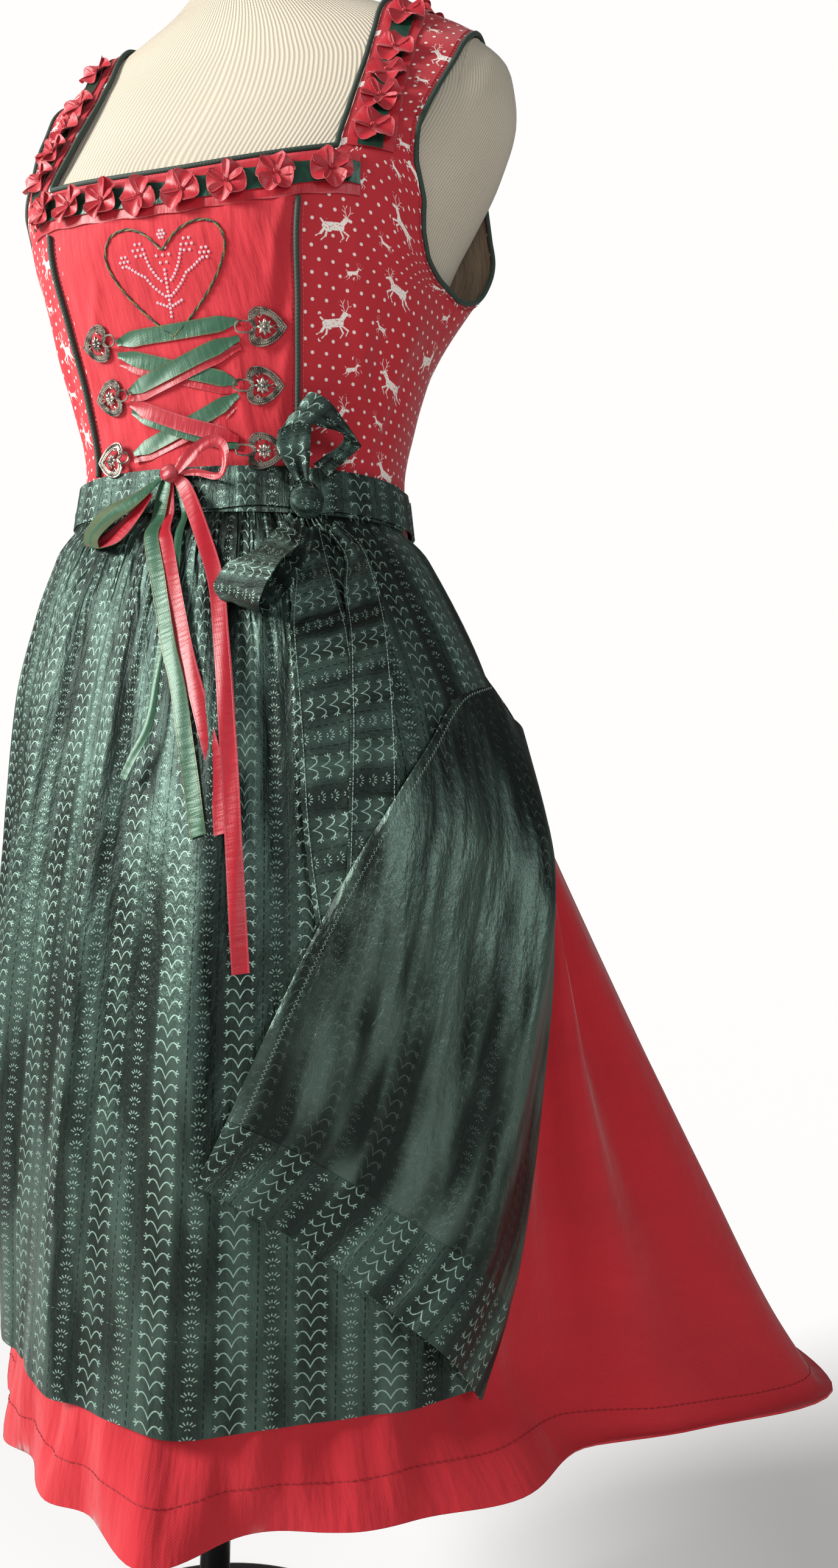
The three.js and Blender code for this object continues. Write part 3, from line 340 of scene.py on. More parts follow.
def shell(patches: Sequence[Patch], thickness: float) -> Solid:
    """One closed wall of cloth from nets that are joined where their places meet.

    Args:
        patches: The nets. The cloth's thickness lies behind their points.
        thickness: Of the cloth, in millimetres.

    Returns:
        Outer faces, inner faces and rims.
    """
    points = np.concatenate([p.points.reshape(-1, 3) for p in patches])
    normals = np.concatenate([p.normals.reshape(-1, 3) for p in patches])
    _, first, ids = np.unique(np.round(points * 200).astype(np.int64), axis=0, return_index=True,
                              return_inverse=True)
    ids = ids.reshape(-1)
    summed = np.zeros((len(first), 3))
    np.add.at(summed, ids, normals)
    outer = points[first]
    inner = outer - unit(summed) * thickness
    faces, uvs, marks, behind, behind_uvs, behind_marks = [], [], [], [], [], []
    start = 0
    for patch in patches:
        rows, columns = patch.points.shape[:2]
        grid = start + np.arange(rows * columns).reshape(rows, columns)
        start += rows * columns
        quads = np.stack([grid[:-1, :-1], grid[:-1, 1:], grid[1:, 1:], grid[1:, :-1]], -1).reshape(-1, 4)
        a, b, c, d = (points[quads[:, k]] for k in range(4))
        if (np.cross(c - a, d - b) * normals[quads[:, 0]]).sum() < 0:
            quads = quads[:, ::-1]
        uv = patch.uv.reshape(-1, 2)[quads - grid[0, 0]]
        for face, corners in zip(ids[quads].tolist(), uv.tolist()):
            keep = [k for k in range(4) if face[k] != face[k - 1]]
            if len(keep) < 3:
                continue
            faces.append(tuple(face[k] for k in keep))
            uvs.append([corners[k] for k in keep])
            marks.append(patch.front)
            behind_marks.append(patch.back)
    count = len(outer)
    once: dict[tuple[int, int], tuple[list[float], list[float]]] = {}
    for face, corners in zip(faces, uvs):
        behind.append(tuple(k + count for k in reversed(face)))
        behind_uvs.append(corners[::-1])
        for k, start_at in enumerate(face):
            end_at = face[(k + 1) % len(face)]
            if once.pop((end_at, start_at), None) is None:
                once[(start_at, end_at)] = (corners[k], corners[(k + 1) % len(face)])
    rims = [(j, i, i + count, j + count) for i, j in once]
    rim_uvs = [[b, a, a, b] for a, b in once.values()]
    flat = [corner for corners in [*uvs, *behind_uvs, *rim_uvs] for corner in corners]
    all_marks = np.array([*marks, *behind_marks, *[0] * len(rims)])
    return Solid(np.concatenate([outer, inner]), [*faces, *behind, *rims], np.array(flat), all_marks)


def rings(loops: Array, uv_round: float = 0.0, capped: bool = True) -> Solid:
    """A closed body through rings of points.

    Args:
        loops: Rings, points in each, 3.
        uv_round: The measure once round, in millimetres; 0 works it out from the first ring.
        capped: Whether both ends are closed.

    Returns:
        The body, with its own measure as uv.
    """
    count, sides = loops.shape[:2]
    vertices = loops.reshape(-1, 3)
    k = np.arange(sides)
    after = (k + 1) % sides
    base = (np.arange(count - 1) * sides)[:, None]
    quads = np.stack([base + k, base + after, base + sides + after, base + sides + k], -1).reshape(-1, 4)
    middle = loops.mean(1)
    rise = run_of(middle)
    steps = loops[count // 2] - np.roll(loops[count // 2], 1, 0)
    girth = uv_round or float(np.linalg.norm(steps, axis=1).sum())
    u = np.arange(sides + 1) / sides * girth
    cells = np.zeros((count - 1, sides, 4, 2))
    cells[..., 0, 0] = cells[..., 3, 0] = u[:-1]
    cells[..., 1, 0] = cells[..., 2, 0] = u[1:]
    cells[..., 0, 1] = cells[..., 1, 1] = rise[:-1, None]
    cells[..., 2, 1] = cells[..., 3, 1] = rise[1:, None]
    uv = cells.reshape(-1, 2)
    faces = [tuple(q) for q in quads.tolist()]
    if capped:
        faces += [tuple(reversed(range(sides))), tuple(range((count - 1) * sides, count * sides))]
        uv = np.concatenate([uv, np.zeros((2 * sides, 2))])
    solid = Solid(vertices, faces, uv)
    probe = loops[count // 2]
    onward = loops[min(count // 2 + 1, count - 1)][0] - loops[max(count // 2 - 1, 0)][0]
    turn = np.cross(probe[1] - probe[0], onward)
    if float(turn @ (probe[0] - middle[count // 2])) < 0:
        solid.faces = [tuple(reversed(face)) for face in faces]
        order = np.concatenate([np.arange(len(f))[::-1] + s for f, s in zip(faces, starts_of(faces))])
        solid.uv = uv[order]
    return solid


def starts_of(faces: Sequence[tuple[int, ...]]) -> list[int]:
    """Where each face's corners start in a list of all corners."""
    return np.concatenate([[0], np.cumsum([len(f) for f in faces])[:-1]]).astype(int).tolist()


def ways(points: Array) -> Array:
    """The way along a line at each of its points."""
    steps = unit(np.diff(points, axis=0))
    return unit(np.concatenate([steps[:1], steps[:-1] + steps[1:], steps[-1:]]))


def tube(points: Array, normals: Array, radius: Array | float, sides: int = 8, flat: float = 1.0) -> Solid:
    """A round or flattened cord along a line.

    Args:
        points: The line.
        normals: A way roughly across it at each point.
        radius: Half its width, one or one for each point.
        sides: Of its section.
        flat: Its height as a share of its width.

    Returns:
        The closed cord.
    """
    along = ways(points)
    across = unit(np.cross(along, normals))
    up = np.cross(across, along)
    turn = turns_of(sides)
    size = np.broadcast_to(np.asarray(radius, float), (len(points),))[:, None, None]
    ring = across[:, None] * np.cos(turn)[:, None] + up[:, None] * np.sin(turn)[:, None] * flat
    return rings(points[:, None] + ring * size)


def lathe(profile: Sequence[tuple[float, float]], segments: int = 96,
          middle: tuple[float, float] = (0, 0)) -> Solid:
    """A turned body from radii and heights, bottom to top.

    Args:
        profile: Radii and heights.
        segments: Steps round.
        middle: Where the axis stands.

    Returns:
        The turned body.
    """
    turn = turns_of(segments)
    loops = [vectors(middle[0] + r * np.cos(turn), middle[1] + r * np.sin(turn), z) for r, z in profile]
    return rings(np.array(loops))


def dome(radius: float, height: float, sides: int = 8, levels: int = 2) -> Solid:
    """A small rounded bead or stone with its flat side at z 0.

    Args:
        radius: The radius in millimetres.
        height: The height in millimetres.
        sides: Steps round.
        levels: Steps up.

    Returns:
        The bead.
    """
    turn = turns_of(sides)
    lift = np.linspace(0, math.pi / 2, levels + 1)[:-1]
    loops = [vectors(radius * math.cos(a) * np.cos(turn), radius * math.cos(a) * np.sin(turn),
                     height * math.sin(a))
             for a in lift]
    top = vectors(radius * 0.3 * np.cos(turn), radius * 0.3 * np.sin(turn), height)
    return rings(np.array([*loops, top]))


def frames_on(points: Array, normals: Array, along: Optional[Array] = None) -> Array:
    """Axes at places: x along, y across, z out, as rows of a matrix for each place.

    Args:
        points: The places.
        normals: The directions out of the cloth there.
        along: The way along at each, or None to follow the places.

    Returns:
        One matrix for each place.
    """
    z = unit(normals)
    x = ways(points) if along is None else along
    x = unit(x - z * (x * z).sum(-1, keepdims=True))
    return np.stack([x, np.cross(z, x), z], 1)


def copies(unit_solid: Solid, points: Array, axes: Array, sizes: Array | float = 1.0) -> Solid:
    """The same small solid at many places."""
    sizes = np.broadcast_to(np.asarray(sizes, float), (len(points),))
    return joined([unit_solid.placed(axes[k], points[k], float(sizes[k])) for k in range(len(points))])


def stitches(points: Array, normals: Array, length: float = 2.4, gap: float = 1.1,
             radius: float = 0.28) -> Solid:
    """A row of sewing stitches along a line.

    Args:
        points: The line on the cloth.
        normals: The way out of the cloth along it.
        length: Of one stitch.
        gap: Between two stitches.
        radius: Of the thread.

    Returns:
        All the stitches as one body of small arched threads.
    """
    line = evened(np.concatenate([points, normals], 1), (length + gap) / 4)
    turn = turns_of(5)
    made = []
    for start in range(0, len(line) - 4, 4):
        spot, out = line[start:start + 4, :3], unit(line[start:start + 4, 3:])
        along = ways(spot)
        across = unit(np.cross(along, out))
        lift = np.array([-0.2, 0.55, 0.55, -0.2])[:, None] * radius
        ring = across[:, None] * np.cos(turn)[:, None] + out[:, None] * np.sin(turn)[:, None]
        made.append(rings((spot + out * lift)[:, None] + ring * radius))
    return joined(made)


def piece(name: str, solid: Solid, finishes: Sequence[bpy.types.Material],
          nodes: Sequence[str] = (), sharp: float = 55.0) -> bpy.types.Object:
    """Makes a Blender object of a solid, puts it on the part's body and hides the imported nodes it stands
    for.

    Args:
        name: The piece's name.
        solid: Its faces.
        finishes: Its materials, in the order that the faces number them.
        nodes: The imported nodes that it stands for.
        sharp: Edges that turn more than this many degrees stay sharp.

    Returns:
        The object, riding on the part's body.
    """
    mesh = bpy.data.meshes.new(name)
    mesh.from_pydata((solid.vertices * MM).tolist(), [], solid.faces)
    if solid.uv is not None:
        layer = mesh.uv_layers.new(name="cloth")
        layer.data.foreach_set("uv", (solid.uv * MM).astype(np.float32).ravel())
    for finish in finishes:
        mesh.materials.append(finish)
    if solid.finishes is not None:
        mesh.polygons.foreach_set("material_index",
                                  np.minimum(solid.finishes, len(finishes) - 1).astype(np.int32))
    mesh.polygons.foreach_set("use_smooth", np.ones(len(mesh.polygons), bool))
    mesh.set_sharp_from_angle(angle=math.radians(sharp))
    mesh.update()
    made = bpy.data.objects.new(name, mesh)
    bpy.context.scene.collection.objects.link(made)
    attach(made, BODY)
    if nodes:
        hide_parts(*nodes)
    log.info("%s: %d faces", name, len(mesh.polygons))
    return made


def sheet_of(made: bpy.types.Object, width: float,
             area_mm2: Optional[float] = None) -> bpy.types.Object:
    """Takes a piece and its flat size in millimetres, and gives the piece back unchanged.

    Args:
        made: The piece.
        width: Its width cut flat; not used.
        area_mm2: The flat area, if it isn't a rectangle; not used.

    Returns:
        The piece.
    """
    area = None if area_mm2 is None else area_mm2 * MM * MM
    width * MM
    return made


# ---- the figure and the cloth on it -----------------------------------------


@dataclass
class Figure:
    """The dress form's surface: squared ovals by height."""

    yoke: float = 1290.0
    ROWS = Table("z half front back mid square", [
        (800, 106, 68, 74, 0, 2.1), (812, 128, 86, 94, 0, 2.1), (840, 140, 95, 105, 0, 2.1),
        (880, 145, 99, 111, 0, 2.1), (930, 144, 99, 111, 0, 2.2), (1000, 134, 93, 101, 0, 2.3),
        (1050, 130, 90, 96, 0, 2.3), (1100, 139, 100, 98, 0, 2.3), (1150, 152, 115, 103, 0, 2.4),
        (1200, 164, 131, 108, 0, 2.4), (1225, 173, 132, 109, 2, 2.4), (1257, 190, 122, 108, 5, 2.4),
        (1290, 207, 105, 103, 10, 2.3), (1330, 218, 84, 93, 15, 2.2), (1362, 213, 69, 80, 18, 2.1),
        (1392, 186, 58, 68, 20, 2.0), (1417, 138, 53, 60, 20, 2.0), (1438, 86, 52, 56, 18, 2.0),
        (1460, 60, 51, 53, 16, 2.0), (1510, 54, 50, 50, 14, 2.0),
    ])

    def beyond(self, p: Array) -> Array:
        """Below 0 inside the figure, above 0 outside it.

        Args:
            p: Places.

        Returns:
            A measure for each place.
        """
        half, front, back, mid, square = (self.ROWS.get(n, p[..., 2])
                                          for n in ("half", "front", "back", "mid", "square"))
        deep = np.where(p[..., 1] < mid, front, back)
        return (np.abs(p[..., 0]) / half) ** square + (np.abs(p[..., 1] - mid) / deep) ** square - 1

    def outward(self, p: Array) -> Array:
        """The way out of the figure at points of its surface."""
        step = 0.5 * np.eye(3)
        return unit(np.stack([self.beyond(p + s) - self.beyond(p - s) for s in step], -1))

    def point(self, angle: Array, z: Array) -> Array:
        """Points of the surface at an angle in radians and a height.

        Args:
            angle: Angles in radians.
            z: Heights.

        Returns:
            The points.
        """
        half, front, back, mid, square = (self.ROWS.get(n, z)
                                          for n in ("half", "front", "back", "mid", "square"))
        s, c = np.sin(angle), np.cos(angle)
        deep = np.where(c > 0, front, back)
        power = 2 / square
        return vectors(half * np.sign(s) * np.abs(s) ** power, mid - deep * np.sign(c) * np.abs(c) ** power,
                       z)

    def angle_of(self, x: Array, z: Array) -> Array:
        """The angle at which the front has a given distance from the middle."""
        share = np.minimum(1, np.abs(x) / self.ROWS.get("half", z))
        return np.sign(x) * np.arcsin(share ** (self.ROWS.get("square", z) / 2))

    def radius(self, degrees: Array, z: Array) -> Array:
        """How far the surface is from the stand's middle, for the waist and hips.

        Args:
            degrees: Angles in degrees.
            z: Heights.

        Returns:
            The distances.
        """
        half, front, back, square = (self.ROWS.get(n, z) for n in ("half", "front", "back", "square"))
        s, c = np.abs(np.sin(np.radians(degrees))), np.cos(np.radians(degrees))
        deep = np.where(c > 0, front, back)
        return ((s / half) ** square + (np.abs(c) / deep) ** square) ** (-1 / square)

    def over_shoulder(self, x: Array, turn: Array) -> Array:
        """Points of the surface above the yoke's height.

        Args:
            x: Distances from the middle.
            turn: Turns over the shoulder in degrees, 0 at the front.

        Returns:
            The points.
        """
        x, turn = np.broadcast_arrays(np.asarray(x, float), np.radians(np.asarray(turn, float)))
        start = vectors(x, float(self.ROWS.get("mid", self.yoke)), self.yoke)
        way = vectors(0, -np.cos(turn), np.sin(turn))
        near, far = np.zeros_like(x), np.full_like(x, 420.0)
        for _ in range(34):
            middle = (near + far) / 2
            inside = self.beyond(start + way * middle[..., None]) < 0
            near, far = np.where(inside, middle, near), np.where(inside, far, middle)
        return start + way * ((near + far) / 2)[..., None]


FIGURE = Figure()


@dataclass(frozen=True)
class Crease:
    """A soft trough or ridge in cloth, along a line between two places."""

    start: tuple[float, float]
    end: tuple[float, float]
    depth: float
    width: float

    def at(self, x: Array, y: Array) -> Array:
        """How far out the cloth is moved at places: nothing past the crease's ends.

        Args:
            x: The first numbers of the places.
            y: The second numbers of the places.

        Returns:
            The moves in millimetres.
        """
        (x0, y0), (x1, y1) = self.start, self.end
        dx, dy = x1 - x0, y1 - y0
        length = math.hypot(dx, dy)
        along = ((x - x0) * dx + (y - y0) * dy) / length**2
        aside = ((x - x0) * dy - (y - y0) * dx) / length
        fade = np.sin(math.pi * np.clip(along, 0, 1)) ** 0.8 * ((along > 0) & (along < 1))
        return self.depth * fade * np.exp(-((aside / self.width) ** 2))


def creases_of(rows: Sequence[tuple[float, ...]]) -> tuple[Crease, ...]:
    """Creases from rows of the start's and the end's two numbers, the depth and the width."""
    return tuple(Crease(row[:2], row[2:4], row[4], row[5]) for row in rows)


def creased(creases: Sequence[Crease], x: Array, y: Array) -> Array:
    """The sum of several creases.

    Args:
        creases: The creases.
        x: The first numbers of the places.
        y: The second numbers of the places.

    Returns:
        The moves in millimetres.
    """
    total = np.zeros(np.broadcast(x, y).shape)
    for crease in creases:
        total = total + crease.at(x, y)
    return total


def chained(*parts: Places) -> Places:
    """Several stretches of places as one."""
    return np.concatenate([points for points, _ in parts]), np.concatenate([normals for _, normals in parts])


@dataclass
class Bodice:
    """The bodice: plain front panel, side fronts cut in one with the straps, back, and piping."""

    cloth: float = 1.5
    body_ease: float = 3.0
    strap_ease: float = 1.3
    gap: float = 0.3
    neck: float = 1257.0
    neck_sag: float = 14.0
    corner: float = 122.0
    armhole: float = 165.0
    cord: float = 2.0
    FRONT = Table("z half mid", [(1036, 83, -1), (1100, 89, -2), (1160, 97, -3), (1220, 104, -5),
                                 (1257, 106, -5)])
    STRAP = Table("turn inner outer", [(0, 122, 166), (45, 121, 176), (90, 119, 184), (135, 119, 180),
                                       (180, 119, 174)])
    # height at the inner edge, at the outer edge, and the outer edge's angle
    SIDE_ROWS = np.array([
        (1036.3, 1036.3, 97), (1060, 1064, 97), (1086, 1096, 97), (1112, 1126, 97), (1136, 1160, 97),
        (1158, 1192, 97), (1178, 1195, 88), (1197, 1203, 79.5), (1214, 1217, 73), (1231, 1236, 67.5)], float)
    # height and the edge's angle
    BACK_ROWS = np.array([
        (1036.3, 97.2), (1064, 97.2), (1096, 97.2), (1126, 97.2), (1160, 97.2), (1192, 97.2), (1195, 102),
        (1203, 107), (1217, 110.5), (1237, 113.5), (1260, 119), (1289.7, 125)], float)
    # on both sides, by degrees from the middle of the back
    BACK_CREASES = (
        (22, 1230, 16, 1050, -1.2, 3), (46, 1240, 38, 1060, 1.2, 5), (66, 1200, 58, 1050, -1.0, 5),
        (12, 1100, 30, 1060, 0.9, 6))
    PANEL_CREASES = creases_of((
        (96, 1236, 74, 1150, 1.6, 5), (98, 1200, 72, 1112, -1.5, 5), (92, 1150, 70, 1066, 1.5, 5),
        (-62, 1180, -76, 1120, 1.2, 5), (-80, 1130, -66, 1060, -1.3, 5), (44, 1120, 52, 1050, 1.0, 6),
        (-38, 1110, -30, 1048, 1.0, 6), (8, 1100, 4, 1044, -0.9, 7), (-20, 1236, -70, 1190, 0.8, 9),
        (40, 1232, 86, 1180, 0.9, 8), (18, 1096, 40, 1060, 0.9, 5),
    ))

    def seam_x(self, side: float, z: Array) -> Array:
        """How far from the middle the piped seam is."""
        return side * self.FRONT.get("half", z) + self.FRONT.get("mid", z)

    def neck_z(self, x: Array) -> Array:
        """The front neckline's height."""
        return self.neck - self.neck_sag * np.maximum(0, 1 - (np.asarray(x, float) / self.corner) ** 2)

    def ease(self, angle: Array, z: Array) -> Array:
        """How far the bodice's outer face is from the figure: the back of the armhole gapes.

        Args:
            angle: Angles in radians.
            z: Heights.

        Returns:
            The distances.
        """
        aside = np.maximum(0, 1 - np.abs(np.abs(angle) - math.radians(108)) / math.radians(26))
        up = smooth(z, 1130, 1235) * (1 - smooth(z, 1245, 1300))
        return self.body_ease + self.cloth + 26 * aside * aside * (3 - 2 * aside) * up

    def at(self, angle: Array, z: Array, out: Array | float = 0.0) -> Places:
        """Places on the bodice by angle in radians and height.

        Args:
            angle: Angles in radians.
            z: Heights.
            out: How far out of the surface.

        Returns:
            The places and their normals.
        """
        p = FIGURE.point(angle, z)
        n = FIGURE.outward(p)
        round_back = np.where(angle > math.pi, 2 * math.pi - angle, angle)
        return p + n * (self.ease(round_back, z) + out)[..., None], n

    def front(self, x: Array, z: Array, out: Array | float = 0.0) -> Places:
        """Places on the front by distance from the middle and height."""
        x, z = np.broadcast_arrays(np.asarray(x, float), np.asarray(z, float))
        return self.at(FIGURE.angle_of(x, z), z, np.broadcast_to(np.asarray(out, float), x.shape))

    def strap(self, x: Array, turn: Array, out: Array | float = 0.0) -> Places:
        """Places on a shoulder strap by distance from the middle and turn over the shoulder in degrees.

        Args:
            x: Distances from the middle.
            turn: Degrees over the shoulder.
            out: How far out of the surface.

        Returns:
            The places and their normals.
        """
        p = FIGURE.over_shoulder(x, turn)
        n = FIGURE.outward(p)
        on_top = smooth(turn, 15, 60) * (1 - smooth(turn, 125, 172))
        lift = self.cloth + mix(self.body_ease, self.strap_ease, on_top)
        return p + n * np.broadcast_to(lift + out, p.shape[:-1])[..., None], n

    def front_panel(self) -> Patch:
        """The plain panel between the piped seams.

        Returns:
            The net of its outer face.
        """
        z_low = 1036.3
        s, t = np.meshgrid(np.linspace(0, 1, 96), np.linspace(0, 1, 84), indexing="ij")
        x_top = mix(self.seam_x(-1, self.neck) + self.gap / 2, self.seam_x(1, self.neck) - self.gap / 2, t)
        z = mix(z_low, self.neck_z(x_top), s)
        x = mix(self.seam_x(-1, z) + self.gap / 2, self.seam_x(1, z) - self.gap / 2, t)
        edge = smooth(np.minimum(t, 1 - t), 0, 0.06)
        points, normals = self.front(x, z, creased(self.PANEL_CREASES, x, z) * edge * 1.7)
        return Patch(points, normals, measured(points, -100))

    def side_front(self) -> list[Patch]:
        """The side front at the wearer's left and its strap.

        Returns:
            The nets of both parts.
        """
        t = np.linspace(0, 1, 49)
        inner, outer, edge = filled(self.SIDE_ROWS, 9 * (len(self.SIDE_ROWS) - 1) + 1)
        seam = FIGURE.angle_of(np.abs(self.seam_x(1, inner)) + self.gap / 2, inner)
        angle = mix(seam[:, None], np.radians(edge)[:, None], t[None])
        z = mix(inner[:, None], outer[:, None], t[None])
        at_seam = float(self.seam_x(1, self.neck)) + self.gap / 2
        knots = np.concatenate([[at_seam], np.linspace(self.corner, self.armhole, 8)])
        top_x = np.interp(t * 8, np.arange(9), knots)
        top_z = np.where(top_x < self.corner, self.neck_z(top_x), self.neck)
        top_angle = FIGURE.angle_of(top_x, top_z)
        rise = np.linspace(0, 1, 9)[1:, None]
        angle = np.concatenate([angle, mix(angle[-1][None], top_angle[None], rise)])
        z = np.concatenate([z, mix(z[-1][None], top_z[None], rise)])
        free = np.sin(math.pi * np.clip(t, 0, 1))[None] ** 0.5
        folds = creases_of((
            (42, 1225, 58, 1050, -2.6, 5), (47, 1200, 66, 1045, 2.2, 6), (70, 1180, 62, 1050, -1.8, 5),
            (88, 1188, 78, 1120, 1.6, 6), (52, 1240, 72, 1190, 1.4, 5), (90, 1160, 74, 1044, -1.6, 4),
        ))
        out = creased(folds, np.degrees(angle), z) * free * 1.5
        points, normals = self.at(angle, z, out)
        uv = measured(points, 0, 0)
        lower = Patch(points, normals, uv)
        neck_x = top_x[6:]
        t2 = (neck_x - self.corner) / (self.armhole - self.corner)
        turns = np.linspace(0, 180, 121)
        up = np.linspace(0, 1, 9)[:, None]
        joint_z = mix(self.neck, FIGURE.yoke, up[:-1])
        joint_x = mix(neck_x[None], mix(122.0, 166.0, t2)[None], up[:-1])
        low = self.front(joint_x, joint_z)
        x = mix(self.STRAP.get("inner", turns)[:, None], self.STRAP.get("outer", turns)[:, None], t2[None])
        high = self.strap(x, np.broadcast_to(turns[:, None], x.shape))
        points, normals = chained(low, high)
        strap_uv = measured(points, 22, float(uv[-1, 10, 1]))
        return [lower, Patch(points, normals, strap_uv)]

    def back_panel(self) -> Patch:
        """The back, up to the yoke.

        Returns:
            The net of its outer face.
        """
        z, edge = filled(self.BACK_ROWS, 8 * (len(self.BACK_ROWS) - 1) + 1)
        t = np.linspace(0, 1, 131)
        angle = mix(np.radians(edge)[:, None], 2 * math.pi - np.radians(edge)[:, None], t[None])
        heights = np.broadcast_to(z[:, None], angle.shape)
        folds = creases_of([(180 + side * a, low, 180 + side * b, high, depth, width) for side in (1, -1)
                            for a, low, b, high, depth, width in self.BACK_CREASES])
        out = creased(folds, np.degrees(angle), heights) * np.sin(math.pi * t)[None] ** 0.5
        points, normals = self.at(angle, heights, out)
        return Patch(points, normals, measured(points))

    def neck_edge(self) -> Places:
        """The neck's edge from the middle of the back over the wearer's left strap to the front's middle.

        Returns:
            The edge and its normals.
        """
        low = math.radians(float(self.BACK_ROWS[-1, 1]))
        angles = np.linspace(math.pi, low, 90)
        back_p, back_n = self.at(angles, np.full(90, self.BACK_ROWS[-1, 0]))
        keep = back_p[:, 0] < float(self.STRAP.get("inner", 180)) - 2
        turns = np.linspace(180, 0, 110)
        fall = np.linspace(FIGURE.yoke, self.neck, 14)[1:]
        across = np.linspace(float(self.seam_x(1, self.neck)), 0, 50)
        return chained((back_p[keep], back_n[keep]), self.strap(self.STRAP.get("inner", turns), turns),
                       self.front(np.full(13, self.corner), fall), self.front(across, self.neck_z(across)))

    def armhole_edge(self) -> Places:
        """The left armhole's edge, from the side seam up the front, over and down the back.

        Returns:
            The edge and its normals.
        """
        _, front_z, front_edge = filled(self.SIDE_ROWS[5:], 40)
        back_z, back_edge = filled(self.BACK_ROWS[5:-1][::-1], 50)
        turns = np.linspace(0, 180, 110)
        rise = np.linspace(self.neck, FIGURE.yoke, 9)[:-1]
        return chained(self.at(np.radians(front_edge), front_z), self.front(np.full(8, self.armhole), rise),
                       self.strap(self.STRAP.get("outer", turns), turns),
                       self.at(np.radians(back_edge), back_z))


def mirrored(solid: Solid) -> Solid:
    """The same piece on the wearer's other side.

    Args:
        solid: The piece.

    Returns:
        Its mirror image.
    """
    starts = starts_of(solid.faces)
    faces = [tuple(reversed(face)) for face in solid.faces]
    order = np.concatenate([np.arange(len(f))[::-1] + s for f, s in zip(solid.faces, starts)])
    uv = None if solid.uv is None else solid.uv[order]
    return Solid(solid.vertices * (-1, 1, 1), faces, uv, solid.finishes)


def beside(points: Array, normals: Array, side: float, out: float, step: float = 2.0,
           rounds: int = 3) -> Places:
    """A line beside a cloth's edge, evened and softly rounded at its corners.

    Args:
        points: The edge.
        normals: The way out of the cloth along it.
        side: How far past the edge.
        out: How far out.
        step: Between its points.
        rounds: How often it is smoothed.

    Returns:
        The line and the way out along it.
    """
    line = evened(np.concatenate([points, normals], 1), step)
    p, n = line[:, :3], unit(line[:, 3:])
    across = unit(np.cross(ways(p), n))
    p = p + across * side + n * out
    for _ in range(rounds):
        p = np.concatenate([p[:1], (p[:-2] + 2 * p[1:-1] + p[2:]) / 4, p[-1:]])
    return p, n


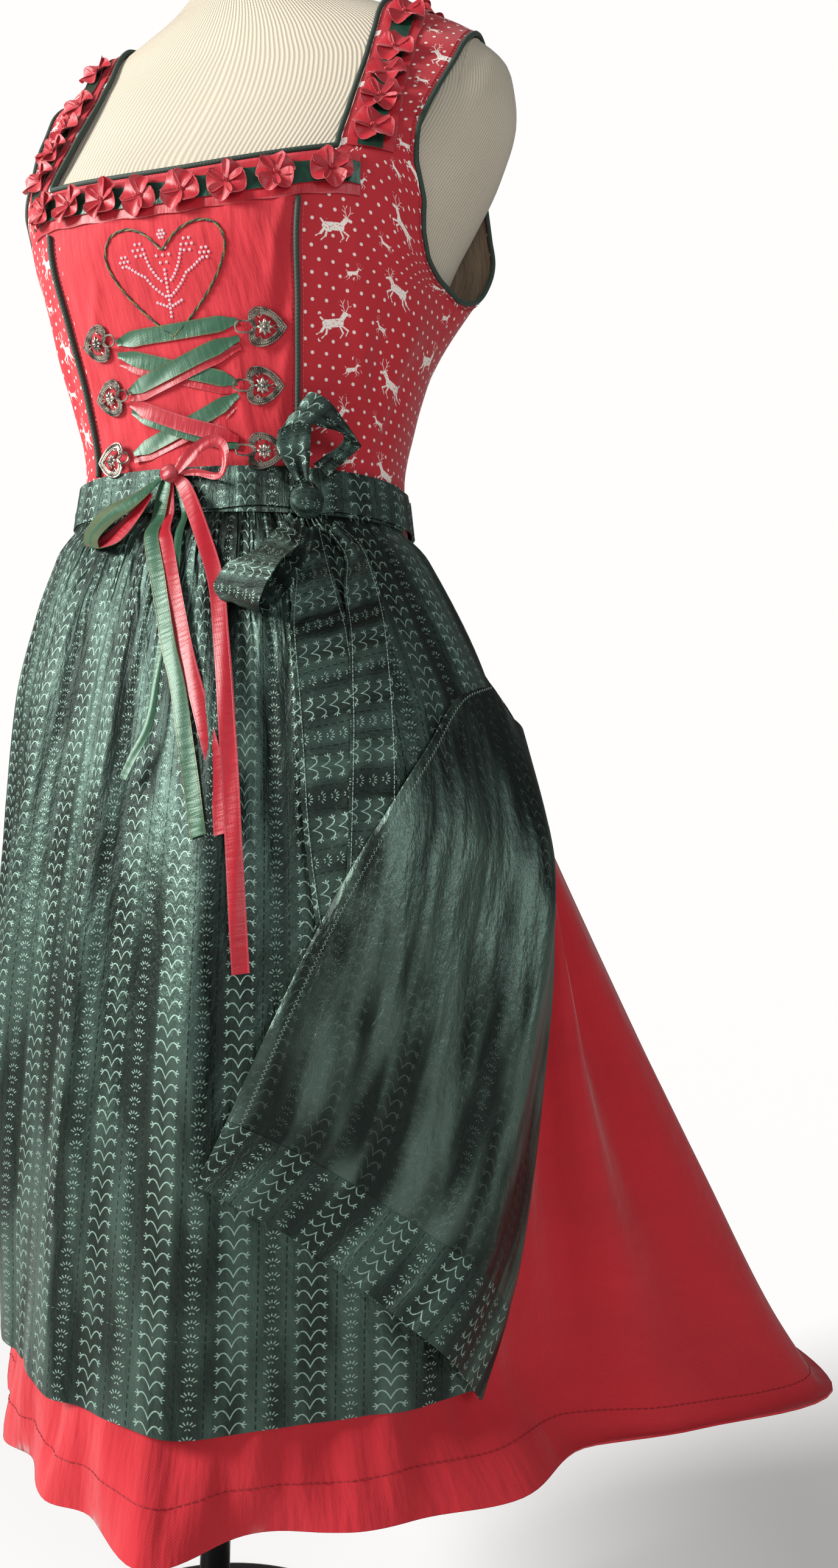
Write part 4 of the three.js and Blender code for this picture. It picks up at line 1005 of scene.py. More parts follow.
@dataclass
class Skirts:
    """The skirt and the apron on it, by angle in degrees round the stand and height."""

    hem: float = 330.0
    top: float = 1036.0
    gathers: float = 1006.0
    ease: float = 5.2
    apron_hem: float = 391.0
    apron_top: float = 1003.7
    apron_right: float = -88.0
    band_low: float = 1004.0
    band_high: float = 1039.0
    stand: float = 10.0
    crest_rise: float = 3.0
    curl: float = 6.0
    measure: float = 200.0  # the radius at which the apron's cloth has its own width
    point: float = 101.0  # the angle at which the skirt is drawn out
    HEIGHTS = (990, 930, 860, 750, 640, 500, 400, 330)
    SIDES = (
        (-148, (127, 147, 161, 175, 186, 200, 212, 222)), (-110, (139, 156, 167, 175, 180, 184, 186, 194)),
        (-80, (140, 156, 166, 172, 176, 173, 162, 163)), (-52, (129, 149, 163, 169, 174, 170, 159, 160)),
        (-28, (114, 136, 154, 169, 180, 185, 179, 185)), (-9, (107, 129, 148, 169, 184, 196, 202, 213)),
        (8, (109, 133, 154, 180, 198, 214, 224, 245)), (21, (114, 140, 165, 193, 211, 227, 238, 279)),
        (39, (122, 152, 180, 208, 224, 234, 240, 256)), (54, (131, 166, 202, 234, 246, 250, 252, 288)),
        (68, (140, 178, 215, 249, 260, 263, 263, 308)), (80, (147, 186, 223, 260, 272, 277, 283, 326)),
        (90, (149, 186, 222, 261, 290, 328, 360, 396)), (101, (148, 180, 212, 266, 322, 396, 450, 499)),
        (108, (146, 178, 211, 260, 314, 384, 436, 482)), (122, (138, 162, 190, 230, 270, 322, 358, 384)),
        (148, (122, 144, 164, 193, 218, 250, 272, 286)), (180, (118, 140, 157, 177, 193, 212, 224, 233)),
    )
    FOLD = Table("z angle", [(391, 66.5), (470, 73), (540, 76), (604, 78), (672, 80), (760, 82), (858, 86),
                             (905, 88), (962, 90), (1004, 88)])
    # by the fold's height: where the side edge lies
    CORNER = Table("z angle height", [
        (391, 24.2, 552), (450, 28.7, 595), (515, 34.3, 650), (590, 41.3, 712), (665, 49.4, 774),
        (740, 59.6, 831), (805, 70, 872), (845, 78.8, 881)])
    # by degrees and heights: drawn from the waist towards the point, and soft falls elsewhere
    SKIRT_CREASES = creases_of((
        (78, 840, 81, 340, 9, 2.6), (82.5, 950, 84, 335, -11, 2.6), (87, 930, 88.6, 335, 15, 2.8),
        (91.4, 930, 93, 340, -17, 3.0), (94.6, 640, 97, 380, 4, 1.9), (95.6, 520, 98.7, 400, -2, 1.6),
        (90, 560, 91.5, 332, 3.5, 0.8), (95, 500, 96.5, 335, -3.5, 0.7), (82, 520, 82.5, 330, 4, 1.1),
        (72, 560, 74, 330, 6, 2.2), (66, 500, 67, 330, -6, 2.0), (54, 470, 55, 328, 6, 2.4),
        (44, 430, 45, 328, -6, 2.2), (34, 430, 34, 328, 6, 2.6), (22, 430, 22, 328, -6, 2.4),
        (11, 420, 11, 328, 6, 2.4), (-2, 420, -2, 328, -6, 2.6), (-14, 420, -14, 328, 6, 2.8),
        (-30, 420, -30, 328, -6, 3.0), (-48, 420, -47, 328, 5, 3.0), (-66, 430, -66, 328, -5, 3.0),
        (104, 900, 105, 380, 4, 0.8), (110, 960, 108, 360, -9, 2.4), (114, 900, 116, 350, 9, 3.0),
        (124, 980, 124, 350, -10, 4.0), (136, 980, 142, 350, 9, 4.0), (150, 980, 156, 345, -9, 4.5),
        (168, 990, 172, 345, 8, 5.0), (-172, 990, -172, 345, -8, 5.0), (-152, 990, -153, 345, 8, 5.0),
        (-132, 985, -135, 345, -8, 5.0), (-114, 985, -116, 345, 7, 4.5), (-98, 985, -98, 345, -6, 4.0),
    ))
    APRON_CREASES = creases_of((
        (-72, 1000, -66, 420, -3.4, 2.6), (-58, 990, -55, 400, 3.4, 3.0), (-44, 1000, -42, 460, -3.0, 2.6),
        (-30, 996, -31, 400, 3.0, 3.2), (-17, 990, -19, 430, -2.8, 2.6), (-4, 996, -4, 400, 2.6, 3.2),
        (10, 990, 8, 460, -2.6, 2.4), (24, 980, 22, 560, 2.6, 3.0), (36, 980, 38, 640, -2.4, 2.4),
        (60, 985, 64, 780, 2.4, 2.4), (72, 985, 74, 820, -2.2, 2.2), (-80, 700, -84, 400, 2.6, 2.4),
    ))

    def __post_init__(self) -> None:
        """Works out each side's run from hem to waist."""
        angles = np.array([angle for angle, _ in self.SIDES], float)
        self.angles = np.concatenate([angles[-3:] - 360, angles, angles[:3] + 360])
        self.runs = []
        for angle, radii in self.SIDES:
            z = np.array([*self.HEIGHTS[::-1], self.gathers, self.top], float)
            waist = FIGURE.radius(angle, z[-2:]) + self.ease
            r = np.concatenate([np.array(radii[::-1], float), waist])
            self.runs.append((z, r, slopes_of(z, r)))

    def round(self, degrees: Array | float, z: Array | float) -> Array:
        """The skirt's radius without its small folds.

        Args:
            degrees: Angles in degrees.
            z: Heights.

        Returns:
            The radii.
        """
        degrees, z = np.broadcast_arrays(np.asarray(degrees, float), np.asarray(z, float))
        turn = (degrees + 180) % 360 - 180
        values = np.stack([read_rows(at, r, slopes, z) for at, r, slopes in self.runs])
        values = np.concatenate([values[-3:], values, values[:3]])
        r = read_rows(self.angles, values, slopes_of(self.angles, values), turn)
        return mix(r, FIGURE.radius(turn, z) + self.ease, smooth(z, 998, self.gathers))

    def hem_z(self, degrees: Array) -> Array:
        """The skirt's hem, pulled up a little at the point."""
        return self.hem + 16 * bump(degrees, self.point, 22)

    def skirt(self, degrees: Array, z: Array) -> Array:
        """The skirt's outer radius with its folds.

        Args:
            degrees: Angles in degrees.
            z: Heights.

        Returns:
            The radii.
        """
        turned = np.where(degrees > 180, degrees - 360, degrees)
        aside = smooth(np.abs(turned + 5), 80, 105)
        covered = 1 - 0.8 * smooth(z, self.apron_hem - 60, self.apron_hem) * (1 - aside)
        stretched = 1 - 0.75 * bump(turned, self.point, 22)
        depth = mix(1, 7, 1 - smooth(z, 640, self.top)) * covered * stretched
        return self.round(degrees, z) + depth * swaying(degrees, 16, 46, 3, 20)

    def crest(self, degrees: Array | float, z: Array | float) -> Array:
        """The apron's outer radius at the tops of its folds."""
        stand = mix(self.stand, 3.6, smooth(z, 980, self.apron_top))
        return self.round(degrees, z) + stand + mix(self.crest_rise, 0.8, smooth(z, 820, self.apron_top))

    def apron(self, degrees: Array, z: Array) -> Array:
        """The apron's outer radius with its folds and the small gathers under the waistband.

        Args:
            degrees: Angles in degrees.
            z: Heights.

        Returns:
            The radii.
        """
        depth = mix(5.0, 0.8, smooth(z, 820, self.apron_top))
        calm = 1 - 0.7 * smooth(degrees, 50, 70)
        fine, broad = swaying(degrees, 26, 90, 5, 0, 0.12 * z), swaying(degrees, 11.5, 80, 3.1, 40, 0.05 * z)
        fold = 0.25 * fine + 0.75 * broad
        soft = creased(self.APRON_CREASES, degrees, z) * smooth(self.apron_top - z, 0, 60)
        gathered = 0.8 * swaying(degrees, 58, 70, 7) + 0.6 * swaying(degrees, 83, 90, 11, 40)
        gathers = gathered * smooth(z, 850, 985) * smooth(self.apron_top + 1 - z, 0, 10)
        r = self.crest(degrees, z) - depth + depth * calm * fold + soft * 1.6 + gathers
        return np.maximum(r, self.skirt(degrees, z) + mix(4.4, 2.6, smooth(z, 900, self.apron_top)))

    def band(self, degrees: Array, z: Array) -> Array:
        """The waistband's outer radius."""
        t = (self.band_high - z) / (self.band_high - self.band_low)
        return mix(FIGURE.radius(degrees, 1037) + 8, self.round(degrees, self.band_low) + 4.4, t)

    def cover(self, degrees: Array, z: Array) -> Array:
        """The outermost cloth's radius: bodice, ties on the waistband, or apron.

        Args:
            degrees: Angles in degrees.
            z: Heights.

        Returns:
            The radii.
        """
        bodice = FIGURE.radius(degrees, z) + 4.5
        tied = self.band(degrees, z) + 1.8
        below = np.where(z > self.band_low - 4, tied, self.crest(degrees, z))
        return np.where(z > self.band_high + 3, bodice, below)


SKIRTS = Skirts()


# ---- finishes ---------------------------------------------------------------


def linear(code: str) -> tuple[float, float, float]:
    """A colour code such as a03040 as linear red, green and blue."""
    parts = [int(code[k:k + 2], 16) / 255 for k in (0, 2, 4)]
    return tuple(c / 12.92 if c <= 0.04045 else ((c + 0.055) / 1.055) ** 2.4 for c in parts)


class Weaver:
    """Builds one material's nodes. Places on the cloth are in millimetres."""

    def __init__(self, name: str) -> None:
        """Starts a material with an empty tree.

        Args:
            name: The material's name.
        """
        self.material = bpy.data.materials.new(name)
        self.material.use_nodes = True
        self.tree = self.material.node_tree
        self.tree.nodes.clear()

    def node(self, kind: str, **settings: object) -> bpy.types.Node:
        """Adds a node and sets its properties.

        Args:
            kind: The node's type.
            settings: Its properties.

        Returns:
            The node.
        """
        node = self.tree.nodes.new(kind)
        for name, value in settings.items():
            setattr(node, name, value)
        return node

    def feed(self, socket: bpy.types.NodeSocket, value: object) -> None:
        """Links a value into a socket, or sets it.

        Args:
            socket: The socket.
            value: A value, a number or a colour.
        """
        if isinstance(value, Value):
            self.tree.links.new(value.socket, socket)
        else:
            socket.default_value = value

    def math(self, operation: str, *inputs: object, clamp: bool = False) -> "Value":
        """One math node.

        Args:
            operation: What it does.
            inputs: What goes in.
            clamp: Whether it stays from 0 to 1.

        Returns:
            What comes out.
        """
        node = self.node("ShaderNodeMath", operation=operation, use_clamp=clamp)
        for socket, value in zip(node.inputs, inputs):
            self.feed(socket, value)
        return Value(self, node.outputs[0])

    def vector(self, operation: str, *inputs: object, out: str = "Vector") -> "Value":
        """One vector math node; a lone number goes to its scale.

        Args:
            operation: What it does.
            inputs: What goes in.
            out: The output to take.

        Returns:
            What comes out.
        """
        node = self.node("ShaderNodeVectorMath", operation=operation)
        if operation == "SCALE":
            self.feed(node.inputs[0], inputs[0])
            self.feed(node.inputs["Scale"], inputs[1])
        else:
            for socket, value in zip(node.inputs, inputs):
                self.feed(socket, value)
        return Value(self, node.outputs[out])

    def cloth(self) -> tuple["Value", "Value"]:
        """Where on the cloth a point is, in millimetres.

        Returns:
            Across and along.
        """
        uv = self.node("ShaderNodeUVMap", uv_map="cloth")
        split = self.node("ShaderNodeSeparateXYZ")
        self.tree.links.new(uv.outputs[0], split.inputs[0])
        return Value(self, split.outputs[0]) * 1000, Value(self, split.outputs[1]) * 1000

    def joined(self, x: object, y: object, z: object = 0.0) -> "Value":
        """A vector from three values.

        Args:
            x: The first.
            y: The second.
            z: The third.

        Returns:
            The vector.
        """
        node = self.node("ShaderNodeCombineXYZ")
        for socket, value in zip(node.inputs, (x, y, z)):
            self.feed(socket, value)
        return Value(self, node.outputs[0])

    def noise(self, place: "Value", scale: float, detail: float = 2.0, roughness: float = 0.5) -> "Value":
        """Soft noise from 0 to 1.

        Args:
            place: Where.
            scale: Waves in a unit.
            detail: Finer layers.
            roughness: Their strength.

        Returns:
            The noise.
        """
        node = self.node("ShaderNodeTexNoise")
        self.feed(node.inputs["Vector"], place)
        self.feed(node.inputs["Scale"], scale)
        self.feed(node.inputs["Detail"], detail)
        self.feed(node.inputs["Roughness"], roughness)
        return Value(self, node.outputs[0])

    def uneven(self, u: "Value", v: "Value", across: float, along: float, detail: float = 2.0,
               roughness: float = 0.5) -> "Value":
        """Soft noise about 0 on the cloth, scaled across it and along it."""
        return self.noise(self.joined(u * across, v * along), 1.0, detail, roughness) - 0.5

    def solid_place(self) -> "Value":
        """Where in the object a point is, in metres."""
        return Value(self, self.node("ShaderNodeTexCoord").outputs["Object"])

    def step(self, value: "Value", low: float, high: float) -> "Value":
        """Rises softly from 0 to 1 between two values, or falls if high is the lower.

        Args:
            value: The value.
            low: Where it leaves 0.
            high: Where it reaches 1.

        Returns:
            The share.
        """
        node = self.node("ShaderNodeMapRange", interpolation_type="SMOOTHSTEP")
        self.feed(node.inputs["Value"], value)
        down = high < low
        self.feed(node.inputs["From Min"], min(low, high))
        self.feed(node.inputs["From Max"], max(low, high))
        self.feed(node.inputs["To Min"], 1.0 if down else 0.0)
        self.feed(node.inputs["To Max"], 0.0 if down else 1.0)
        return Value(self, node.outputs[0])

    def blend(self, share: object, a: object, b: object) -> "Value":
        """Colour a where the share is 0 and b where it is 1.

        Args:
            share: The share of b.
            a: The first colour.
            b: The second colour.

        Returns:
            The colour.
        """
        node = self.node("ShaderNodeMix", data_type="RGBA", clamp_factor=True)
        self.feed(node.inputs["Factor"], share)
        for socket, value in ((node.inputs[6], a), (node.inputs[7], b)):
            self.feed(socket, (*value, 1.0) if isinstance(value, tuple) else value)
        return Value(self, node.outputs[2])

    def bones(self, place: "Value", bones: Sequence[tuple[float, float, float, float, float]]) -> "Value":
        """How far a place is outside a shape made of round-ended strokes: x, y to x, y and the half width.

        Args:
            place: Where.
            bones: The strokes.

        Returns:
            The distance.
        """
        nearest: Optional[Value] = None
        for ax, ay, bx, by, radius in bones:
            dx, dy = bx - ax, by - ay
            offset = self.vector("SUBTRACT", place, (ax, ay, 0))
            square = dx * dx + dy * dy
            along = self.vector("DOT_PRODUCT", offset, (dx / square, dy / square, 0), out="Value")
            share = self.math("ADD", along, 0.0, clamp=True)
            spot = self.vector("SCALE", (dx, dy, 0), share)
            away = self.vector("DISTANCE", offset, spot, out="Value") - radius
            nearest = away if nearest is None else self.math("MINIMUM", nearest, away)
        return nearest


class Value:
    """A node's output, with arithmetic."""

    def __init__(self, weaver: Weaver, socket: bpy.types.NodeSocket) -> None:
        """Keeps the socket."""
        self.weaver = weaver
        self.socket = socket

    def __add__(self, other: object) -> "Value":
        """The sum."""
        return self.weaver.math("ADD", self, other)

    def __sub__(self, other: object) -> "Value":
        """The difference."""
        return self.weaver.math("SUBTRACT", self, other)

    def __rsub__(self, other: object) -> "Value":
        """The difference from a number."""
        return self.weaver.math("SUBTRACT", other, self)

    def __mul__(self, other: object) -> "Value":
        """The product."""
        return self.weaver.math("MULTIPLY", self, other)

    def __truediv__(self, other: object) -> "Value":
        """The quotient."""
        return self.weaver.math("DIVIDE", self, other)

    def __mod__(self, other: object) -> "Value":
        """What is left of a division."""
        return self.weaver.math("FLOORED_MODULO", self, other)

    __radd__ = __add__
    __rmul__ = __mul__

    def abs(self) -> "Value":
        """Without its sign."""
        return self.weaver.math("ABSOLUTE", self)

    def floor(self) -> "Value":
        """The whole number below."""
        return self.weaver.math("FLOOR", self)

    def sin(self) -> "Value":
        """Sine of radians."""
        return self.weaver.math("SINE", self)

    def power(self, exponent: float) -> "Value":
        """To a power."""
        return self.weaver.math("POWER", self, exponent)

    def most(self, other: object) -> "Value":
        """The greater."""
        return self.weaver.math("MAXIMUM", self, other)


@dataclass
class Look:
    """What a finish draws: colour, height in millimetres, and roughness."""

    colour: object
    height: Optional[Value] = None
    roughness: Optional[Value] = None


@dataclass(frozen=True)
class Finish:
    """A plain finish. Subclasses weave a pattern into it."""

    name: str
    colour: str
    roughness: float = 0.8
    metallic: float = 0.0
    sheen: float = 0.0
    coat: float = 0.0
    specular: float = 0.5
    anisotropy: float = 0.0

    def shades(self, *shares: float) -> list[tuple[float, ...]]:
        """The colour made darker or lighter by shares."""
        return [tuple(c * share for c in linear(self.colour)) for share in shares]

    def look(self, w: Weaver) -> Look:
        """The pattern."""
        return Look(linear(self.colour))

    def material(self) -> bpy.types.Material:
        """Makes the Blender material.

        Returns:
            The material.
        """
        w = Weaver(self.name)
        shader = w.node("ShaderNodeBsdfPrincipled")
        shader.inputs["Base Color"].default_value = (*linear(self.colour), 1)
        shader.inputs["Metallic"].default_value = self.metallic
        shader.inputs["Sheen Weight"].default_value = self.sheen
        shader.inputs["Sheen Roughness"].default_value = 0.45
        shader.inputs["Coat Weight"].default_value = self.coat
        shader.inputs["Specular IOR Level"].default_value = self.specular
        shader.inputs["Anisotropic"].default_value = self.anisotropy
        look = self.look(w)
        if isinstance(look.colour, Value):
            w.feed(shader.inputs["Base Color"], look.colour)
        w.feed(shader.inputs["Roughness"], look.roughness if look.roughness is not None else self.roughness)
        if look.height is not None:
            bump = w.node("ShaderNodeBump")
            bump.inputs["Distance"].default_value = MM
            bump.inputs["Strength"].default_value = 1.0
            w.feed(bump.inputs["Height"], look.height)
            w.tree.links.new(bump.outputs[0], shader.inputs["Normal"])
        output = w.node("ShaderNodeOutputMaterial")
        w.tree.links.new(shader.outputs[0], output.inputs[0])
        w.material.diffuse_color = (*linear(self.colour), 1)
        return w.material


@dataclass(frozen=True)
class PlainCotton(Finish):
    """Brushed cotton twill in one colour."""

    def look(self, w: Weaver) -> Look:
        """A fine twill with soft uneven shading.

        Args:
            w: The material being woven.

        Returns:
            Its colour and height.
        """
        u, v = w.cloth()
        twill = ((u + v) * 4.2).sin() * 0.035
        soft = w.uneven(u, v, 0.02, 0.02, 3.0)
        fuzz = w.uneven(u, v, 0.9, 0.9)
        dark, light = self.shades(0.82, 1.16)
        drag = w.uneven(u, v, 0.075, 0.016, 3.0)
        height = twill + soft * 2.6 + drag * 3.2 + fuzz * 0.14
        return Look(w.blend(soft * 0.9 + fuzz * 0.5 + 0.5, dark, light), height)


@dataclass(frozen=True)
class PrintedCotton(Finish):
    """Red cotton with white dots and leaping deer in a half-drop repeat."""

    ink: str = "f4ece4"
    cell: tuple[float, float] = (54.0, 66.0)
    small: float = 0.5
    DEER = (
        (-5.5, 0.0, 4.5, 2.2, 3.0), (-6.2, -0.2, -4.2, -0.6, 3.3), (4.5, 2.5, 8.0, 8.2, 1.9),
        (8.0, 9.0, 11.6, 8.0, 1.25), (7.4, 10.0, 5.8, 11.0, 0.5), (8.2, 10.0, 6.4, 14.6, 0.45),
        (6.4, 14.6, 7.6, 18.0, 0.4), (7.0, 12.8, 4.4, 14.2, 0.4), (6.6, 15.0, 4.8, 17.2, 0.4),
        (9.0, 10.0, 10.6, 14.2, 0.45), (10.6, 14.2, 10.0, 17.8, 0.4), (10.1, 13.0, 12.6, 14.6, 0.4),
        (5.6, 0.4, 10.6, -2.2, 0.85), (10.6, -2.2, 9.0, -6.2, 0.55), (4.4, -0.2, 7.0, -4.6, 0.85),
        (7.0, -4.6, 4.8, -8.2, 0.55), (-6.8, -1.2, -9.8, -5.6, 1.15), (-9.8, -5.6, -13.6, -8.0, 0.6),
        (-5.0, -1.8, -6.2, -6.8, 1.0), (-6.2, -6.8, -9.6, -10.2, 0.6), (-8.8, 2.4, -10.4, 3.8, 0.9),
    )

    def look(self, w: Weaver) -> Look:
        """Draws the print.

        Args:
            w: The material being woven.

        Returns:
            Its colour and height.
        """
        u, v = w.cloth()
        wide, high = self.cell
        column = (u / wide).floor()
        odd = column % 2.0
        x = u % wide - wide / 2
        y = (v + odd * (high / 2)) % high - high / 2
        facing = 1.0 - odd * 2.0
        x = x * facing
        small = w.math("LESS_THAN", y, -9.0)
        big = 1.0 - small
        place = w.joined((x - 14.0) / self.small * small + x * big,
                         (y + 22.0) / self.small * small + (y - 7.0) * big)
        size = small * self.small + big
        away = w.bones(place, self.DEER) * size
        worn = w.noise(w.joined(u * 0.7, v * 0.7), 1.0, 2.0)
        deer = w.step(away + 0.25, 0.25, -0.2) * w.step(worn, 0.25, 0.5)
        row = (v / 9.0).floor()
        dot_x = (u + (row % 2.0) * 5.25) % 10.5 - 5.25
        dot_y = v % 9.0 - 4.5
        dot = w.step((dot_x * dot_x + dot_y * dot_y).power(0.5), 1.45, 1.05) * w.step(away, 1.2, 1.9) * 0.85
        ink = deer.most(dot)
        soft = w.uneven(u, v, 0.02, 0.02, 3.0)
        fuzz = w.uneven(u, v, 1.1, 1.1)
        dark, light = self.shades(0.85, 1.15)
        ground = w.blend(soft * 0.8 + fuzz * 0.5 + 0.5, dark, light)
        return Look(w.blend(ink, ground, linear(self.ink)), soft * 1.2 + fuzz * 0.12)


@dataclass(frozen=True)
class Jacquard(Finish):
    """Dark satin with painted sheen bands, and columns of small winged arcs, sprigs and broken lines woven in
    a paler thread.
    """

    thread: str = "b4d6c8"
    shade: str = "14231f"
    reverse: bool = False
    gathers: float = 0.0
    repeat: float = 42.0
    rise: float = 8.8

    def look(self, w: Weaver) -> Look:
        """Weaves the columns, and paints the satin's sheen into the colour as bands of painted highlight and
        painted shade.

        Args:
            w: The material being woven.

        Returns:
            Its colour, height and roughness.
        """
        u, v = w.cloth()
        x = u % self.repeat - self.repeat / 2
        side = x.abs()
        y = v % self.rise - self.rise / 2
        from_top = side - 4.4
        curve = 2.4 - from_top * from_top * 0.3
        wing = w.step((y - curve).abs() - from_top.abs() * 0.13, 0.52, 0.12) * w.step(side, 6.8, 6.2)
        feather = w.step(w.bones(w.joined(side, y), (
            (6.5, 1.4, 7.6, 2.8, 0.26), (6.7, 1.0, 8.5, 1.1, 0.26), (6.5, 0.6, 7.5, -0.9, 0.26))), 0.25, -0.1)
        far = (u + self.repeat / 2) % self.repeat - self.repeat / 2
        tall = (v + self.rise * 0.5) % self.rise - self.rise / 2
        spot = w.joined(far.abs(), tall)
        sprig = w.step(w.bones(spot, (
            (0.0, 1.0, 0.0, 2.2, 0.3), (1.3, 0.6, 2.2, 1.9, 0.28), (2.4, -0.4, 3.8, 0.4, 0.26),
            (0.6, -2.0, 1.2, -2.6, 0.25))), 0.25, -0.15)
        line = w.step((side - 13.4).abs(), 0.6, 0.25) * w.step((v % 5.3 - 2.65).abs(), 1.9, 1.5)
        motif = wing.most(feather).most(sprig)
        wander = w.uneven(u, v, 0.05, 0.012)
        drag = w.uneven(u, v, 0.03, 0.006)
        fleck = w.noise(w.joined(u * 1.3, v * 1.3), 1.0, 1.0)
        crinkle = w.uneven(u, v, 0.28, 0.1, 4.0, 0.6)
        ground, thread, shade = linear(self.colour), linear(self.thread), linear(self.shade)
        # Painted sheen: bands of painted highlight and painted shade laid into the satin's colour along the
        # drag and wander noise, stronger on the reverse.
        painted_sheen_bands = w.step(drag + wander * 0.5, -0.13, 0.15)
        painted_shade_tone, painted_highlight_tone = self.shades(0.35, 2.3) if self.reverse else self.shades(0.4, 1.6)
        if self.reverse:
            muted = tuple(mix(g, t, 0.12) for g, t in zip(ground, thread))
            base = w.blend(motif * 0.5, w.blend(painted_sheen_bands, painted_shade_tone, painted_highlight_tone), muted)
            return Look(base, crinkle * 1.3 + drag * 14.0 + motif * 0.05)
        base = w.blend(painted_sheen_bands, painted_shade_tone, painted_highlight_tone)
        base = w.blend(line * 0.85, base, shade)
        base = w.blend(motif * (fleck * 0.6 + 0.3), base, thread)
        height = crinkle * 1.7 + drag * 16.0 + motif * 0.1 - line * 0.12
        if self.gathers:
            near = w.step(v, 470.0, 610.0)
            height = height + (u * 0.55 + wander * 34.0).sin() * near * (drag * 2.0 + 0.8) * self.gathers
        return Look(base, height, motif * 0.12 + self.roughness)


@dataclass(frozen=True)
class Satin(Finish):
    """Satin ribbon with a ribbed edge: its length runs along u and its middle is at v 0."""

    edge: str = "8d7a4a"
    half: float = 5.75

    def look(self, w: Weaver) -> Look:
        """Sheen with faint threads and a stitched edge.

        Args:
            w: The material being woven.

        Returns:
            Its colour and height.
        """
        u, v = w.cloth()
        rib = (u * 6.5).sin()
        rim = w.step(v.abs(), self.half - 1.2, self.half - 0.8)
        stitch = rim * w.step(rib, -0.1, 0.4)
        cross = w.uneven(u, v, 0.25, 0.05, 3.0)
        base = w.blend(cross + 0.5, *self.shades(0.85, 1.2))
        return Look(w.blend(stitch * 0.55, base, linear(self.edge)),
                    cross * 0.5 + stitch * 0.2 + (v * 9.0).sin() * 0.02)


@dataclass(frozen=True)
class Corded(Finish):
    """Bias-cut cotton sewn round a cord."""

    def look(self, w: Weaver) -> Look:
        """Slanting wrinkles across the cord, with painted shade in their troughs.

        Args:
            w: The material being woven.

        Returns:
            Its colour and height.
        """
        u, v = w.cloth()
        slant = ((u * 0.5 + v) * 2.4).sin()
        fuzz = w.uneven(u, v, 0.6, 0.6)
        dark, light = self.shades(0.7, 1.4)
        # Painted shade: the colour is darker in the troughs of the slanting wrinkles; the fuzz adds a random
        # variation of tone.
        return Look(w.blend(slant * 0.18 + fuzz + 0.5, dark, light), slant * 0.06 + fuzz * 0.2)


@dataclass(frozen=True)
class Jersey(Finish):
    """Ribbed knit drawn over the form."""

    def look(self, w: Weaver) -> Look:
        """Fine upright ribs of small stitches, with painted shade in the grooves between the ribs.

        Args:
            w: The material being woven.

        Returns:
            Its colour and height.
        """
        u, v = w.cloth()
        rib = (u * 2.2).sin()
        stitch = (v * 2.9 + rib * 0.8).sin()
        soft = w.uneven(u, v, 0.012, 0.012, 3.0)
        dark, light = self.shades(0.72, 1.06)
        # Painted shade: the colour is lighter on the ribs and darker in the grooves between them; the soft
        # noise adds a random variation of tone.
        return Look(w.blend(rib * 0.3 + soft * 0.5 + 0.6, dark, light), rib * 0.22 + stitch * 0.07)


@dataclass(frozen=True)
class OldSilver(Finish):
    """Cast metal, darker in scattered patches of tarnish."""

    def look(self, w: Weaver) -> Look:
        """Tarnish and small casting marks.

        Args:
            w: The material being woven.

        Returns:
            Its colour, height and roughness.
        """
        place = w.solid_place()
        grain = w.noise(place, 900.0, 3.0)
        blot = w.noise(place, 160.0, 2.0)
        dark, light = self.shades(0.3, 1.0)
        return Look(w.blend(w.step(blot, 0.35, 0.6), dark, light), grain * 0.15, blot * 0.2 + 0.2)


@dataclass(frozen=True)
class Beech(Finish):
    """Oiled beech."""

    def look(self, w: Weaver) -> Look:
        """Long grain with short flecks.

        Args:
            w: The material being woven.

        Returns:
            Its colour and height.
        """
        place = w.solid_place()
        long_grain = w.noise(w.vector("MULTIPLY", place, (60.0, 60.0, 9.0)), 3.0, 4.0)
        fleck = w.step(w.noise(w.vector("MULTIPLY", place, (400.0, 400.0, 60.0)), 3.0, 1.0), 0.62, 0.7)
        dark, light, spot = self.shades(0.7, 1.2, 0.55)
        return Look(w.blend(fleck * 0.5, w.blend(long_grain, dark, light), spot), long_grain * 0.05)


